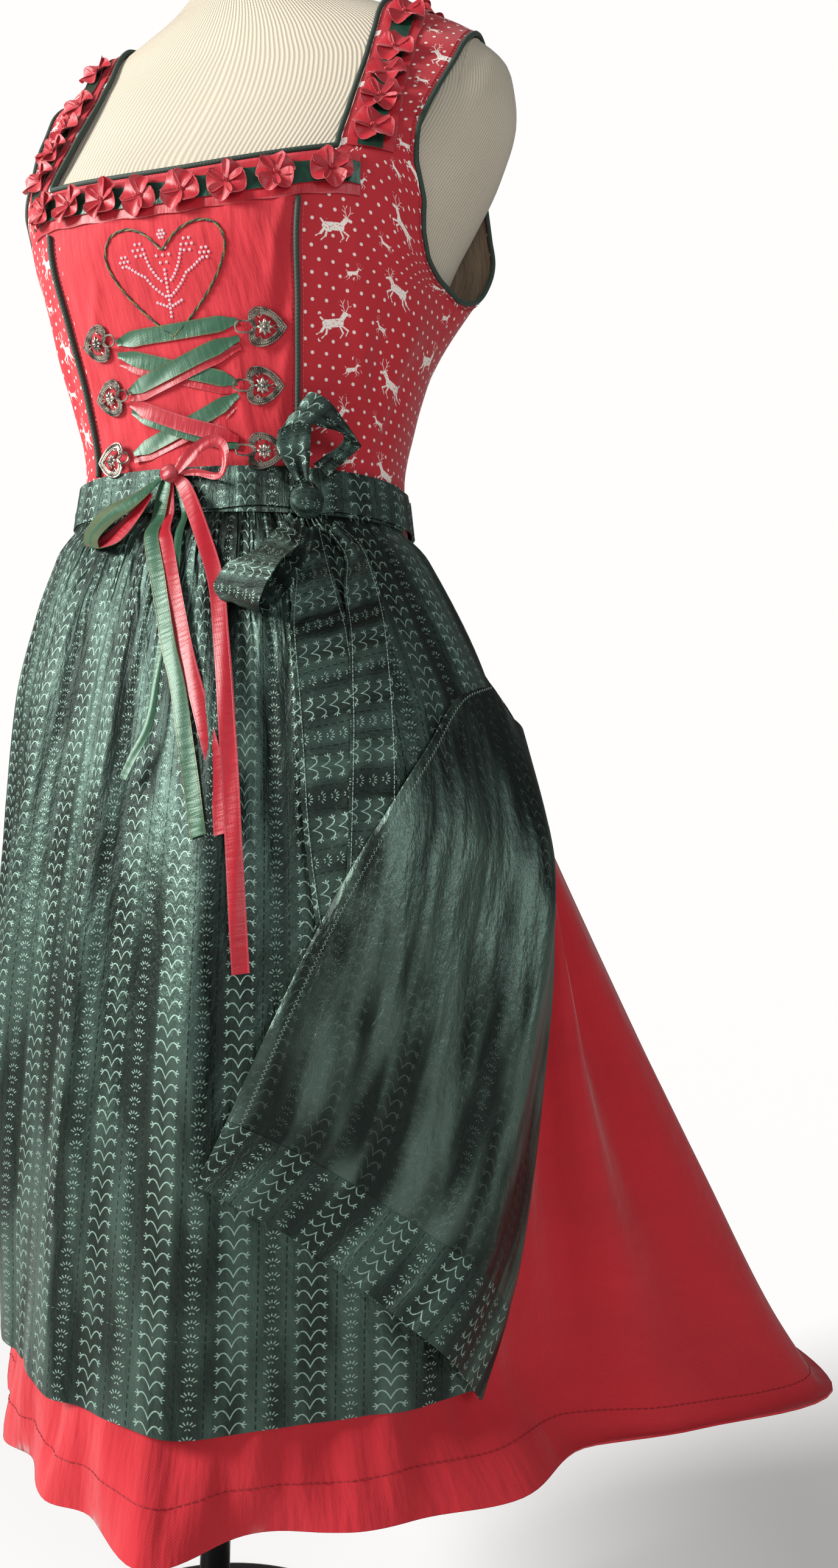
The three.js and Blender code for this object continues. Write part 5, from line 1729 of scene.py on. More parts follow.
class Palette:
    """Every material, made once."""

    def __init__(self) -> None:
        """Makes the materials."""
        self.print = PrintedCotton("printed red cotton", "b71d2b", 0.82, sheen=0.2).material()
        self.plain = PlainCotton("plain red cotton", "bd1f2d", 0.86, sheen=0.3).material()
        self.skirt = PlainCotton("brushed red cotton", "bb1a28", 0.88, sheen=0.3).material()
        self.lining = PlainCotton("lining", "8a7763", 0.9).material()
        self.apron = Jacquard("apron satin", "374842", 0.47, metallic=0.76, anisotropy=0.4,
                              gathers=1.3).material()
        self.tie = Jacquard("tie satin", "34453f", 0.5, metallic=0.72, anisotropy=0.3).material()
        self.reverse = Jacquard("apron reverse", "3a4842", 0.4, metallic=0.84, anisotropy=0.3,
                                reverse=True).material()
        self.cord = Corded("piping cotton", "24382f", 0.7, sheen=0.1).material()
        self.red = Satin("red satin", "a51828", 0.34, edge="d8707a").material()
        self.green = Satin("green satin", "2f5a43", 0.34, metallic=0.15).material()
        self.trim_red = Satin("trim satin", "b01b2a", 0.4, sheen=0.15, edge="dd7a82", half=15.0).material()
        self.trim_green = Satin("trim green", "21483a", 0.3, metallic=0.3, edge="2b5443", half=8.0).material()
        self.thread_red = Finish("red thread", "d8606a", 0.6).material()
        self.thread_pale = Finish("pale thread", "8ea59b", 0.6).material()
        self.thread_dark = Finish("dark thread", "7c1620", 0.7).material()
        self.gold = Corded("gold cord", "6b6436", 0.6).material()
        self.silver = OldSilver("old silver", "a8a297", 0.3, metallic=0.85).material()
        self.stone = Finish("stones", "f0c8d0", 0.15, coat=0.6).material()
        self.jersey = Jersey("ribbed jersey", "cdc3af", 0.9, sheen=0.2).material()
        self.steel = Finish("black steel", "1b1b1d", 0.4, metallic=0.7, coat=0.2).material()
        self.beech = Beech("beech", "b98d5c", 0.45, coat=0.15).material()


# ---- ribbons ----------------------------------------------------------------


@dataclass(frozen=True)
class Ripple:
    """Waves in a ribbon: height, turns across it, run of a turn along it, and run over which they fade."""

    waves: tuple[tuple[float, float, float, float], ...]

    def at(self, run: Array, across: Array) -> Array:
        """How far out the ribbon is moved."""
        return sum(high * np.sin(turns * across + run / along) * np.exp(-run / fade)
                   for high, turns, along, fade in self.waves)


def between(first: Array, second: Array, step: float, columns: int, back: int, bow: float,
            wave: Ripple) -> Patch:
    """A ribbon between two edges.

    Args:
        first: Stations of one edge.
        second: The same stations of the other edge.
        step: About how far apart its rows are.
        columns: Across it.
        back: Finish of its other face, the outer one being 0.
        bow: How far its middle stands out.
        wave: Moves it out by its own length and its place across, -0.5 to 0.5.

    Returns:
        The net, with its length along u and its middle at v 0.
    """
    stations = np.concatenate([first, second], 1)
    length = float(np.linalg.norm(np.diff(stations.reshape(-1, 2, 3).mean(1), axis=0), axis=1).sum())
    rows = through(stations, max(8, int(length / step)))
    a, b = rows[:, :3], rows[:, 3:]
    middle = (a + b) / 2
    out = unit(np.cross(ways(middle), b - a))
    t = np.linspace(-0.5, 0.5, columns + 1)
    run = run_of(middle)
    wide = np.linalg.norm(b - a, axis=1)
    lift = np.broadcast_to(bow * (1 - 4 * t * t), (len(rows), len(t))) + wave.at(run[:, None], t[None])
    points = middle[:, None] + (b - a)[:, None] * t[:, None] + out[:, None] * lift[..., None]
    uv = np.stack([np.broadcast_to(run[:, None], lift.shape), wide[:, None] * t[None]], -1)
    return Patch(points, np.broadcast_to(out[:, None], points.shape), uv, 0, back)


def draped(rows: Sequence[tuple[float, float, float]], narrow: float, wide: float, opening: float) -> Places:
    """Both edges of a ribbon lying on the cloth below it.

    Args:
        rows: Its stations, by angle, height and distance out.
        narrow: Its width at the first station.
        wide: Its full width.
        opening: The share of the stations over which it widens.

    Returns:
        One edge and the other.
    """
    degrees, z, out = np.array(rows, float).T
    reach = SKIRTS.cover(degrees, z)
    along = ways(vectors(np.radians(degrees) * reach, z, 0))
    width = mix(narrow, wide, smooth(np.linspace(0, 1, len(z)), 0, opening))
    edges = []
    for side in (-0.5, 0.5):
        aside = width * side
        at = degrees - np.degrees(along[:, 1] * aside / reach)
        up = z + along[:, 0] * aside
        edges.append(polar(at, SKIRTS.cover(at, up) + out, up))
    return edges[0], edges[1]


def lump(radii: tuple[float, float, float], at: Array, degrees: float, folds: int, depth: float) -> Solid:
    """A knot: a squashed ball with folds that run from side to side.

    Args:
        radii: Half its size each way.
        at: Its middle.
        degrees: The way it faces.
        folds: How many folds.
        depth: Their depth as a share of the radius.

    Returns:
        The knot.
    """
    rows, sides = 19, 40
    lift = np.linspace(-math.pi / 2 + 0.04, math.pi / 2 - 0.04, rows)
    turn = turns_of(sides)
    loops = []
    for a in lift:
        ripple = 1 + depth * np.cos(folds * turn + 1.4 * math.sin(2 * a)) * math.cos(a)
        x, y, z = (math.sin(a) * np.ones(sides), math.cos(a) * np.cos(turn) * ripple,
                   math.cos(a) * np.sin(turn) * ripple)
        loops.append(vectors(x * radii[0], y * radii[1], z * radii[2]))
    solid = rings(np.array(loops))
    return solid.placed(turned_axes(math.radians(degrees)), at)


# ---- the dress form ---------------------------------------------------------


@dataclass
class DressForm:
    """The jersey-covered form with its neck cap, plinth, pole and base."""

    HEIGHTS = (800, 803, 808, 815)

    def build(self, p: Palette) -> None:
        """Makes the pieces.

        Args:
            p: The finishes.
        """
        heights = np.concatenate([self.HEIGHTS, np.arange(822, 1506, 6.0), [1506, 1510]])
        turn = turns_of(112)
        angle, z = np.meshgrid(turn, heights)
        torso = rings(FIGURE.point(angle, z), 920.0)
        piece("torso_cover", torso, [p.jersey], ["form_torso"], 70)
        for side, name in ((1, "left"), (-1, "right")):
            line = FIGURE.over_shoulder(np.full(50, 188.0 * side), np.linspace(40, 140, 50))
            thread = tube(line, FIGURE.outward(line), 0.5, 6)
            piece(f"torso_seam_{name}", thread, [p.jersey])
        cap = [(0.5, 0), (48, 0), (50, 1), (50, 7), (48.5, 8.4), (36, 9.6), (24, 11.2), (18, 13.2), (14, 17),
               (12.2, 22), (13.5, 26), (16.2, 29), (17, 32), (16.4, 36), (14.6, 40), (11.5, 43.6), (6, 45.6),
               (0.5, 46)]
        neck = [(r, z + 1510.3) for r, z in cap]
        piece("neck_block", lathe(neck, 64, (0, 14)), [p.beech], ["form_neck_cap"], 60)
        plinth = [(0.5, 783.7), (60.5, 783.7), (62, 785.2), (62, 798.2), (60.5, 799.7), (0.5, 799.7)]
        piece("plinth_block", lathe(plinth, 72), [p.beech], ["form_plinth"], 60)
        pole = [(0.5, 46.3), (12, 46.3), (12.5, 47), (12.5, 782.6), (12, 783.4), (0.5, 783.4)]
        piece("stand_tube", lathe(pole, 48), [p.steel], ["stand_pole"], 60)
        base = [(0.5, 0), (184, 0), (185, 1), (185, 5), (184, 7), (182, 8.4), (180, 9), (60, 9), (26, 9.3),
                (23, 11), (20.6, 15), (20, 19), (19, 30), (18, 45), (17.4, 46), (0.5, 46)]
        piece("stand_disc", lathe(base, 128), [p.steel], ["stand_base"], 60)


# ---- bodice -----------------------------------------------------------------


@dataclass
class BodicePieces:
    """Makes the bodice's pieces, piping and stitching."""

    form: Bodice = field(default_factory=Bodice)

    def build(self, p: Palette) -> None:
        """Makes the pieces.

        Args:
            p: The finishes.
        """
        form = self.form
        front = piece("front_cloth", shell([form.front_panel()], form.cloth), [p.plain, p.lining],
                      ["front_panel"])
        sheet_of(front, 215)
        left = shell(form.side_front(), form.cloth)
        for side, solid in (("left", left), ("right", mirrored(left))):
            made = piece(f"side_cloth_{side}", solid, [p.print, p.lining], [f"side_front_{side}"])
            sheet_of(made, 230, 62000)
        back = piece("back_cloth", shell([form.back_panel()], form.cloth), [p.print, p.lining],
                     ["back_panel"])
        sheet_of(back, 400)
        self.piping(p)
        self.seams(p)

    def piping(self, p: Palette) -> None:
        """The cords round the neck and armholes.

        Args:
            p: The finishes.
        """
        form = self.form
        points, normals = form.neck_edge()
        other = points[::-1][1:] * (-1, 1, 1)
        whole = np.concatenate([points, other]), np.concatenate([normals, normals[::-1][1:] * (-1, 1, 1)])
        line, out = beside(*whole, form.cord + 0.5, 0.0)
        piece("neck_cord", tube(line, out, form.cord, 10), [p.cord], ["neck_piping"])
        points, normals = form.armhole_edge()
        line, out = beside(points, normals, form.cord + 0.5, 0.0)
        cord = tube(line, out, form.cord, 10)
        inset, lift = beside(points, normals, -2.2, 0.15)
        thread = stitches(inset, lift)
        for side, solid, sewing in (("left", cord, thread), ("right", mirrored(cord), mirrored(thread))):
            piece(f"armhole_cord_{side}", solid, [p.cord], [f"armhole_piping_{side}"])
            piece(f"armhole_stitch_{side}", sewing, [p.thread_dark])

    def seams(self, p: Palette) -> None:
        """The piped seams down the front with their topstitching.

        Args:
            p: The finishes.
        """
        form = self.form
        heights = np.linspace(SKIRTS.band_high + 1.5, form.neck - 39, 90)
        for side, name in ((1, "left"), (-1, "right")):
            x = form.seam_x(side, heights)
            line, out = form.front(x, heights, form.cord + 0.2)
            piece(f"seam_cord_{name}", tube(line, out, form.cord, 10), [p.cord],
                  [f"seam_piping_{name}"])
            for row, away in (("outer", 3.6), ("inner", -3.4)):
                spots, normals = form.front(x + side * away, heights, 0.15)
                thread = p.thread_red if row == "outer" else p.thread_dark
                piece(f"seam_stitch_{row}_{name}", stitches(spots, normals), [thread])


# ---- neck trim --------------------------------------------------------------


@dataclass
class Trim:
    """Ribbon rosettes on a red ribbon with a green one along its middle."""

    width: float = 30.0
    green: float = 16.0
    pitch: float = 34.0  # from rosette to rosette
    petal_length: float = 15.4
    inset: float = 3.0  # from the cloth's edge to the ribbon's
    rise: float = 0.12  # share of the strap's stretch that lies below the yoke
    form: Bodice = field(default_factory=Bodice)
    seed: int = 7

    def __post_init__(self) -> None:
        """Seeds the small differences between petals."""
        self.random = np.random.default_rng(self.seed)

    def front_line(self, x: Array, across: Array, out: Array | float) -> Places:
        """Places on the front stretch, by distance from the middle and from the trim's middle line."""
        return self.form.front(x, self.form.neck_z(x) - (self.width / 2 + self.inset) + across, out)

    def strap_line(self, t: Array, across: Array, out: Array | float) -> Places:
        """Places on the strap's stretch, by share of its length.

        Args:
            t: Shares of the length.
            across: Distances across.
            out: How far out of the surface.

        Returns:
            The places and their normals.
        """
        t, across, out = np.broadcast_arrays(np.asarray(t, float), np.asarray(across, float),
                                             np.asarray(out, float))
        rise = self.form.neck + 2 + (FIGURE.yoke - self.form.neck - 2) * np.clip(t / self.rise, 0, 1)
        turn = 174 * np.clip((t - self.rise) / (1 - self.rise), 0, 1)
        middle = self.form.STRAP.get("inner", turn) + self.width / 2 + self.inset
        low_p, low_n = self.form.front(middle + across, rise, out)
        high_p, high_n = self.form.strap(middle + across, turn, out)
        low = (t < self.rise)[..., None]
        return np.where(low, low_p, high_p), np.where(low, low_n, high_n)

    def ribbons(self, line: Callable[[Array, Array, Array], Places], ends: tuple[float, float],
                count: int) -> Solid:
        """The red ribbon and the green one on it, pinched under each rosette.

        Args:
            line: Gives places on the stretch.
            ends: The shares it runs between.
            count: How many rosettes.

        Returns:
            Both ribbons.
        """
        made = []
        for wide, out, finish, steps, folds in ((self.width, 1.5, 0, 12, 3), (self.green, 2.6, 1, 6, 2)):
            s, t = np.meshgrid(np.linspace(*ends, 40 * count), np.linspace(-0.5, 0.5, steps + 1),
                               indexing="ij")
            phase = (s - ends[0]) / (ends[1] - ends[0]) * count * math.pi
            pinch = np.sin(phase) ** 2
            width = wide * (0.93 + 0.07 * pinch)
            folded = np.cos(2 * math.pi * t * folds) * (0.4 + 1.2 * np.abs(t))
            lift = out + 0.9 * pinch * folded + 0.6 * pinch
            points, normals = line(s, width * t, lift)
            run = (s - ends[0]) / (ends[1] - ends[0]) * count * self.pitch
            made.append(shell([Patch(points, normals, np.stack([run, width * t], -1), finish, finish)], 0.5))
        return joined(made)

    def petal(self, size: float, cup: float, curl: float) -> Solid:
        """One cupped petal that grows from the origin along x.

        Args:
            size: Its length.
            cup: How deep it is.
            curl: How far its edge curls.

        Returns:
            The petal.
        """
        s, t = np.meshgrid(np.linspace(0, 1, 9), np.linspace(-1, 1, 9), indexing="ij")
        half = size * (0.1 + 0.52 * np.sin(math.pi * 0.5 * np.minimum(1, s / 0.85))
                       - 0.14 * smooth(s, 0.7, 1))
        x = size * s * (1 - 0.17 * t * t)
        y = half * t
        cupped = cup * np.sin(math.pi * s * 0.6) * (0.3 + 0.9 * np.abs(t) ** 1.6)
        z = 0.4 + cupped - curl * s**3 * (1 - 0.5 * t * t)
        points = vectors(x, y, z)
        du, dv = np.gradient(points, axis=0), np.gradient(points, axis=1)
        normals = unit(np.cross(du, dv))
        normals = normals * np.sign(normals[..., 2:3].mean())
        edge = 14.6 * np.maximum(np.abs(t), s)
        return shell([Patch(points, normals, np.stack([y + x, edge], -1), 0, 0)], 0.35)

    def rosette(self, petals: int, size: float) -> Solid:
        """Petals round a pinched middle.

        Args:
            petals: How many.
            size: A petal's length.

        Returns:
            The rosette.
        """
        made = []
        start = self.random.uniform(0, 360)
        for k in range(petals):
            turn = math.radians(start + 360 * k / petals + self.random.uniform(-7, 7))
            tilt = self.random.uniform(0.0, 0.9)
            length, cup, curl = (self.random.uniform(*limits)
                                 for limits in ((0.92, 1.06), (3.6, 5.6), (0.8, 3.0)))
            petal = self.petal(size * length, cup, curl)
            made.append(petal.placed(turned_axes(turn), np.array([0, 0, tilt])))
        for k in range(3):
            spot = np.array([0.8 * math.cos(k * 2.1), 0.8 * math.sin(k * 2.1), 2.2 + 0.4 * k])
            made.append(dome(1.5 - 0.3 * k, 1.6, 7).placed(np.eye(3), spot))
        return joined([solid.finished(0) for solid in made])

    def rosettes(self, line: Callable[[Array, Array, Array], Places], spots: Array, ahead: float) -> Solid:
        """A rosette at each spot of a line.

        Args:
            line: Gives places on the stretch.
            spots: Shares of its length.
            ahead: A small step along it.

        Returns:
            All the rosettes.
        """
        points, normals = line(spots, np.zeros(len(spots)), np.full(len(spots), 3.1))
        beyond, _ = line(spots + ahead, np.zeros(len(spots)), np.full(len(spots), 3.1))
        axes = frames_on(points, normals, unit(beyond - points))
        made = [self.rosette(int(self.random.integers(4, 6)), self.petal_length).placed(axes[k], points[k])
                for k in range(len(spots))]
        return joined(made)

    def build(self, p: Palette) -> None:
        """Makes the trim's pieces.

        Args:
            p: The finishes.
        """
        finishes = [p.trim_red, p.trim_green]
        reach = self.form.corner + 13
        base = self.ribbons(self.front_line, (-reach, reach), 8)
        flowers = self.rosettes(self.front_line, np.linspace(-reach + 17, reach - 17, 8), 1.0)
        front = piece("trim_ribbon_front", joined([base, flowers]), finishes, ["trim_front"])
        sheet_of(front, 30)
        base = self.ribbons(self.strap_line, (0.0, 0.999), 9)
        flowers = self.rosettes(self.strap_line, np.linspace(0.055, 0.945, 9), 0.02)
        strap = joined([base, flowers])
        for side, solid in (("left", strap), ("right", mirrored(strap))):
            made = piece(f"trim_ribbon_{side}", solid, finishes, [f"trim_strap_{side}"])
            sheet_of(made, 30)


# ---- skirt and apron --------------------------------------------------------


@dataclass
class SkirtPieces:
    """Makes the skirt, the apron with its turned-over edge, and their stitching."""

    skirt_cloth: float = 1.6
    apron_cloth: float = 1.2
    hem_turn: float = 0.45
    hem_seam: float = 358.0  # the height at which the skirt's hem puckers
    apron_seam: float = 59.0  # the depth of the apron's hem
    curl_top: float = 845.0  # the height up to which the apron's edge is turned over
    tip_top: float = 892.0  # the height at which the turned edge has run out
    curl_columns: int = 13
    bulge: float = 20.0

    def build(self, p: Palette) -> None:
        """Makes the pieces."""
        self.skirt(p)
        self.apron(p)

    def skirt(self, p: Palette) -> None:
        """The skirt, right round, with the stitching of its hem.

        Args:
            p: The finishes.
        """
        heights = np.concatenate([spaced(SKIRTS.hem, 470, 9), spaced(479, SKIRTS.top, 10)])
        degrees, z = np.meshgrid(np.linspace(0, 360, 289), heights)
        up = np.maximum(z, SKIRTS.hem_z(degrees))
        rolled = 1.2 * bump(z, SKIRTS.hem, 7)
        points = polar(degrees, SKIRTS.skirt(degrees, z) - rolled, up)
        out = unit(np.cross(np.gradient(points, axis=1), np.gradient(points, axis=0)))
        out[:, 0] = out[:, -1] = unit(out[:, 0] + out[:, -1])
        turned = (degrees + 180) % 360 - 180
        free = 1 - 0.8 * smooth(z, 390, 430) * (1 - smooth(np.abs(turned + 8), 78, 92))
        pucker = swaying(degrees, 72, 160, 9) * bump(z, self.hem_seam, 16)
        moved = creased(SKIRTS.SKIRT_CREASES, turned, z) * free + 0.7 * pucker
        points = points + out * moved[..., None]
        points[:, -1] = points[:, 0]
        uv = np.stack([np.radians(degrees) * 230, z - SKIRTS.hem], -1)
        made = piece("skirt_cloth", shell([Patch(points, out, uv, 0, 1)], self.skirt_cloth),
                     [p.skirt, p.skirt], ["skirt"], 80)
        sheet_of(made, 1760)
        row = int(np.argmin(np.abs(heights - SKIRTS.hem - 30)))
        line = points[row] + out[row] * 0.2
        piece("skirt_hem_stitch", stitches(line, out[row], 3.2, 1.8), [p.thread_dark])

    def apron_net(self) -> Patch:
        """The apron up to its fold.

        Returns:
            The net.
        """
        heights = np.concatenate([spaced(SKIRTS.apron_hem, 880, 7), spaced(885, SKIRTS.apron_top, 5)])
        t = np.linspace(0, 1, 321)
        fold = SKIRTS.FOLD.get("angle", heights)
        degrees = mix(SKIRTS.apron_right, fold[:, None], t[None])
        z = np.broadcast_to(heights[:, None], degrees.shape)
        up = z - SKIRTS.apron_hem
        hem = 0.9 * bump(up, self.apron_seam, 4) + 1.0 * bump(up, 0, 4)
        side = 0.9 * bump(degrees, SKIRTS.apron_right, 0.9)
        points = polar(degrees, SKIRTS.apron(degrees, z) - hem - side, z)
        uv = np.stack([np.radians(degrees) * SKIRTS.measure, z - SKIRTS.apron_hem], -1)
        return Patch(points, polar(degrees, 1, 0), uv, 0, 1)

    def corner_net(self, main: Patch) -> Patch:
        """The edge turned over to the front.

        Args:
            main: The apron's net.

        Returns:
            The corner's net.
        """
        last = main.points[:, -1]
        keep = last[:, 2] <= self.curl_top
        rows = []
        for k in np.flatnonzero(keep):
            z = float(last[k, 2])
            fold = float(SKIRTS.FOLD.get("angle", z))
            angle, height = (float(SKIRTS.CORNER.get(name, z)) for name in ("angle", "height"))
            out, sideways = polar(fold, 1, 0), polar(fold + 90, 1, 0)
            turn = np.radians(np.linspace(-90, 90, self.curl_columns))[:, None]
            away = sideways * np.cos(turn) + out * np.sin(turn)
            curled = last[k] + out * SKIRTS.curl + away * SKIRTS.curl
            curled[0] = last[k]
            lift = 22 * (890 - z) / 499
            t = np.linspace(0, 1, 45)[1:]
            at, up = mix(fold, angle, t), mix(z, height, t) + lift * 4 * t * (1 - t)
            wave = 1.5 * np.sin(4.2 * t + z / 60) * np.sin(math.pi * np.minimum(1, 1.4 * t))
            arch = np.sin(math.pi * t)
            wave = wave + 1.3 * np.sin(9 * t + z / 34) * arch + 0.8 * np.sin(17 * t - z / 21) * arch
            wave = wave + self.bulge * bump(t, 0.24, 0.13) * smooth(850 - z, 0, 160)
            sunk = mix(SKIRTS.crest_rise, 0, np.minimum(1, 3 * t))
            reach = SKIRTS.crest(at, up) - sunk + 2 * SKIRTS.curl + wave
            flat = polar(at, reach, up)
            row = np.concatenate([curled, flat])
            normals = np.concatenate([-away, polar(at, -1, 0)])
            u0 = math.radians(fold) * SKIRTS.measure
            run = u0 + run_of(row)
            rows.append((row, normals, np.stack([run, np.full(len(row), z - SKIRTS.apron_hem)], -1)))
        points, normals, uv = (np.array([r[k] for r in rows]) for k in range(3))
        return Patch(points, normals, uv, 0, 1)

    def tip_net(self, main: Patch, corner: Patch) -> Patch:
        """Where the turned edge runs out into the flat side edge above.

        Args:
            main: The apron's net.
            corner: The corner's net.

        Returns:
            The tip's net.
        """
        last = main.points[:, -1]
        above = np.flatnonzero((last[:, 2] > self.curl_top) & (last[:, 2] <= self.tip_top))
        start = corner.points[-1, :self.curl_columns]
        fades = np.linspace(1, 0, len(above) + 1)[1:] ** 0.9
        rows, ways_out = [start], [corner.normals[-1, :self.curl_columns]]
        for k, fade in zip(above, fades):
            fold = float(SKIRTS.FOLD.get("angle", last[k, 2]))
            out, sideways = polar(fold, 1, 0), polar(fold + 90, 1, 0)
            turn = np.radians(-90 + 180 * fade * np.linspace(0, 1, self.curl_columns))[:, None]
            away = sideways * np.cos(turn) + out * np.sin(turn)
            row = last[k] + out * SKIRTS.curl + away * SKIRTS.curl
            row[0] = last[k]
            rows.append(row)
            ways_out.append(-away)
        points = np.array(rows)
        return Patch(points, np.array(ways_out), measured(points, 300, 450), 0, 1)

    def apron(self, p: Palette) -> None:
        """The apron, its hem on the reverse, and its stitching.

        Args:
            p: The finishes.
        """
        main = self.apron_net()
        corner = self.corner_net(main)
        tip = self.tip_net(main, corner)
        made = piece("apron_cloth", shell([main, corner, tip], self.apron_cloth), [p.apron, p.reverse],
                     ["apron"], 80)
        sheet_of(made, 780)
        rows = (corner.uv[:, 0, 1] <= 60) & (corner.uv[:, 0, 1] >= 0)
        hem, out, uv = (net[rows][:, self.curl_columns:]
                        for net in (corner.points, -corner.normals, corner.uv))
        patch = Patch(hem + out * 1.75, out, uv * (1, -1) + (0, 120), 0, 0)
        piece("apron_hem_turn", shell([patch], self.hem_turn), [p.tie])
        edge = corner.points[:, -3], -corner.normals[:, -3]
        line = edge[0] + edge[1] * 1.3
        piece("apron_edge_stitch", self.zigzag(line, edge[1]), [p.thread_pale])
        around = np.linspace(SKIRTS.apron_right + 0.8, 66, 620)
        height = np.full(620, SKIRTS.apron_hem + self.apron_seam)
        seam = polar(around, SKIRTS.apron(around, height) - 0.7, height)
        piece("apron_hem_stitch", stitches(seam, polar(around, 1, 0), 2.6, 1.6, 0.24), [p.tie])

    @staticmethod
    def zigzag(line: Array, normals: Array) -> Solid:
        """Zigzag sewing along an edge.

        Args:
            line: Places along the line.
            normals: The directions out of the cloth there.

        Returns:
            The stitches.
        """
        rows = evened(np.concatenate([line, normals], 1), 1.5)
        points, out = rows[:, :3], unit(rows[:, 3:])
        across = unit(np.cross(ways(points), out))
        side = np.where(np.arange(len(points)) % 2 == 0, 1.1, -1.1)[:, None]
        return tube(points + across * side, out, 0.22, 4)


# ---- ties -------------------------------------------------------------------


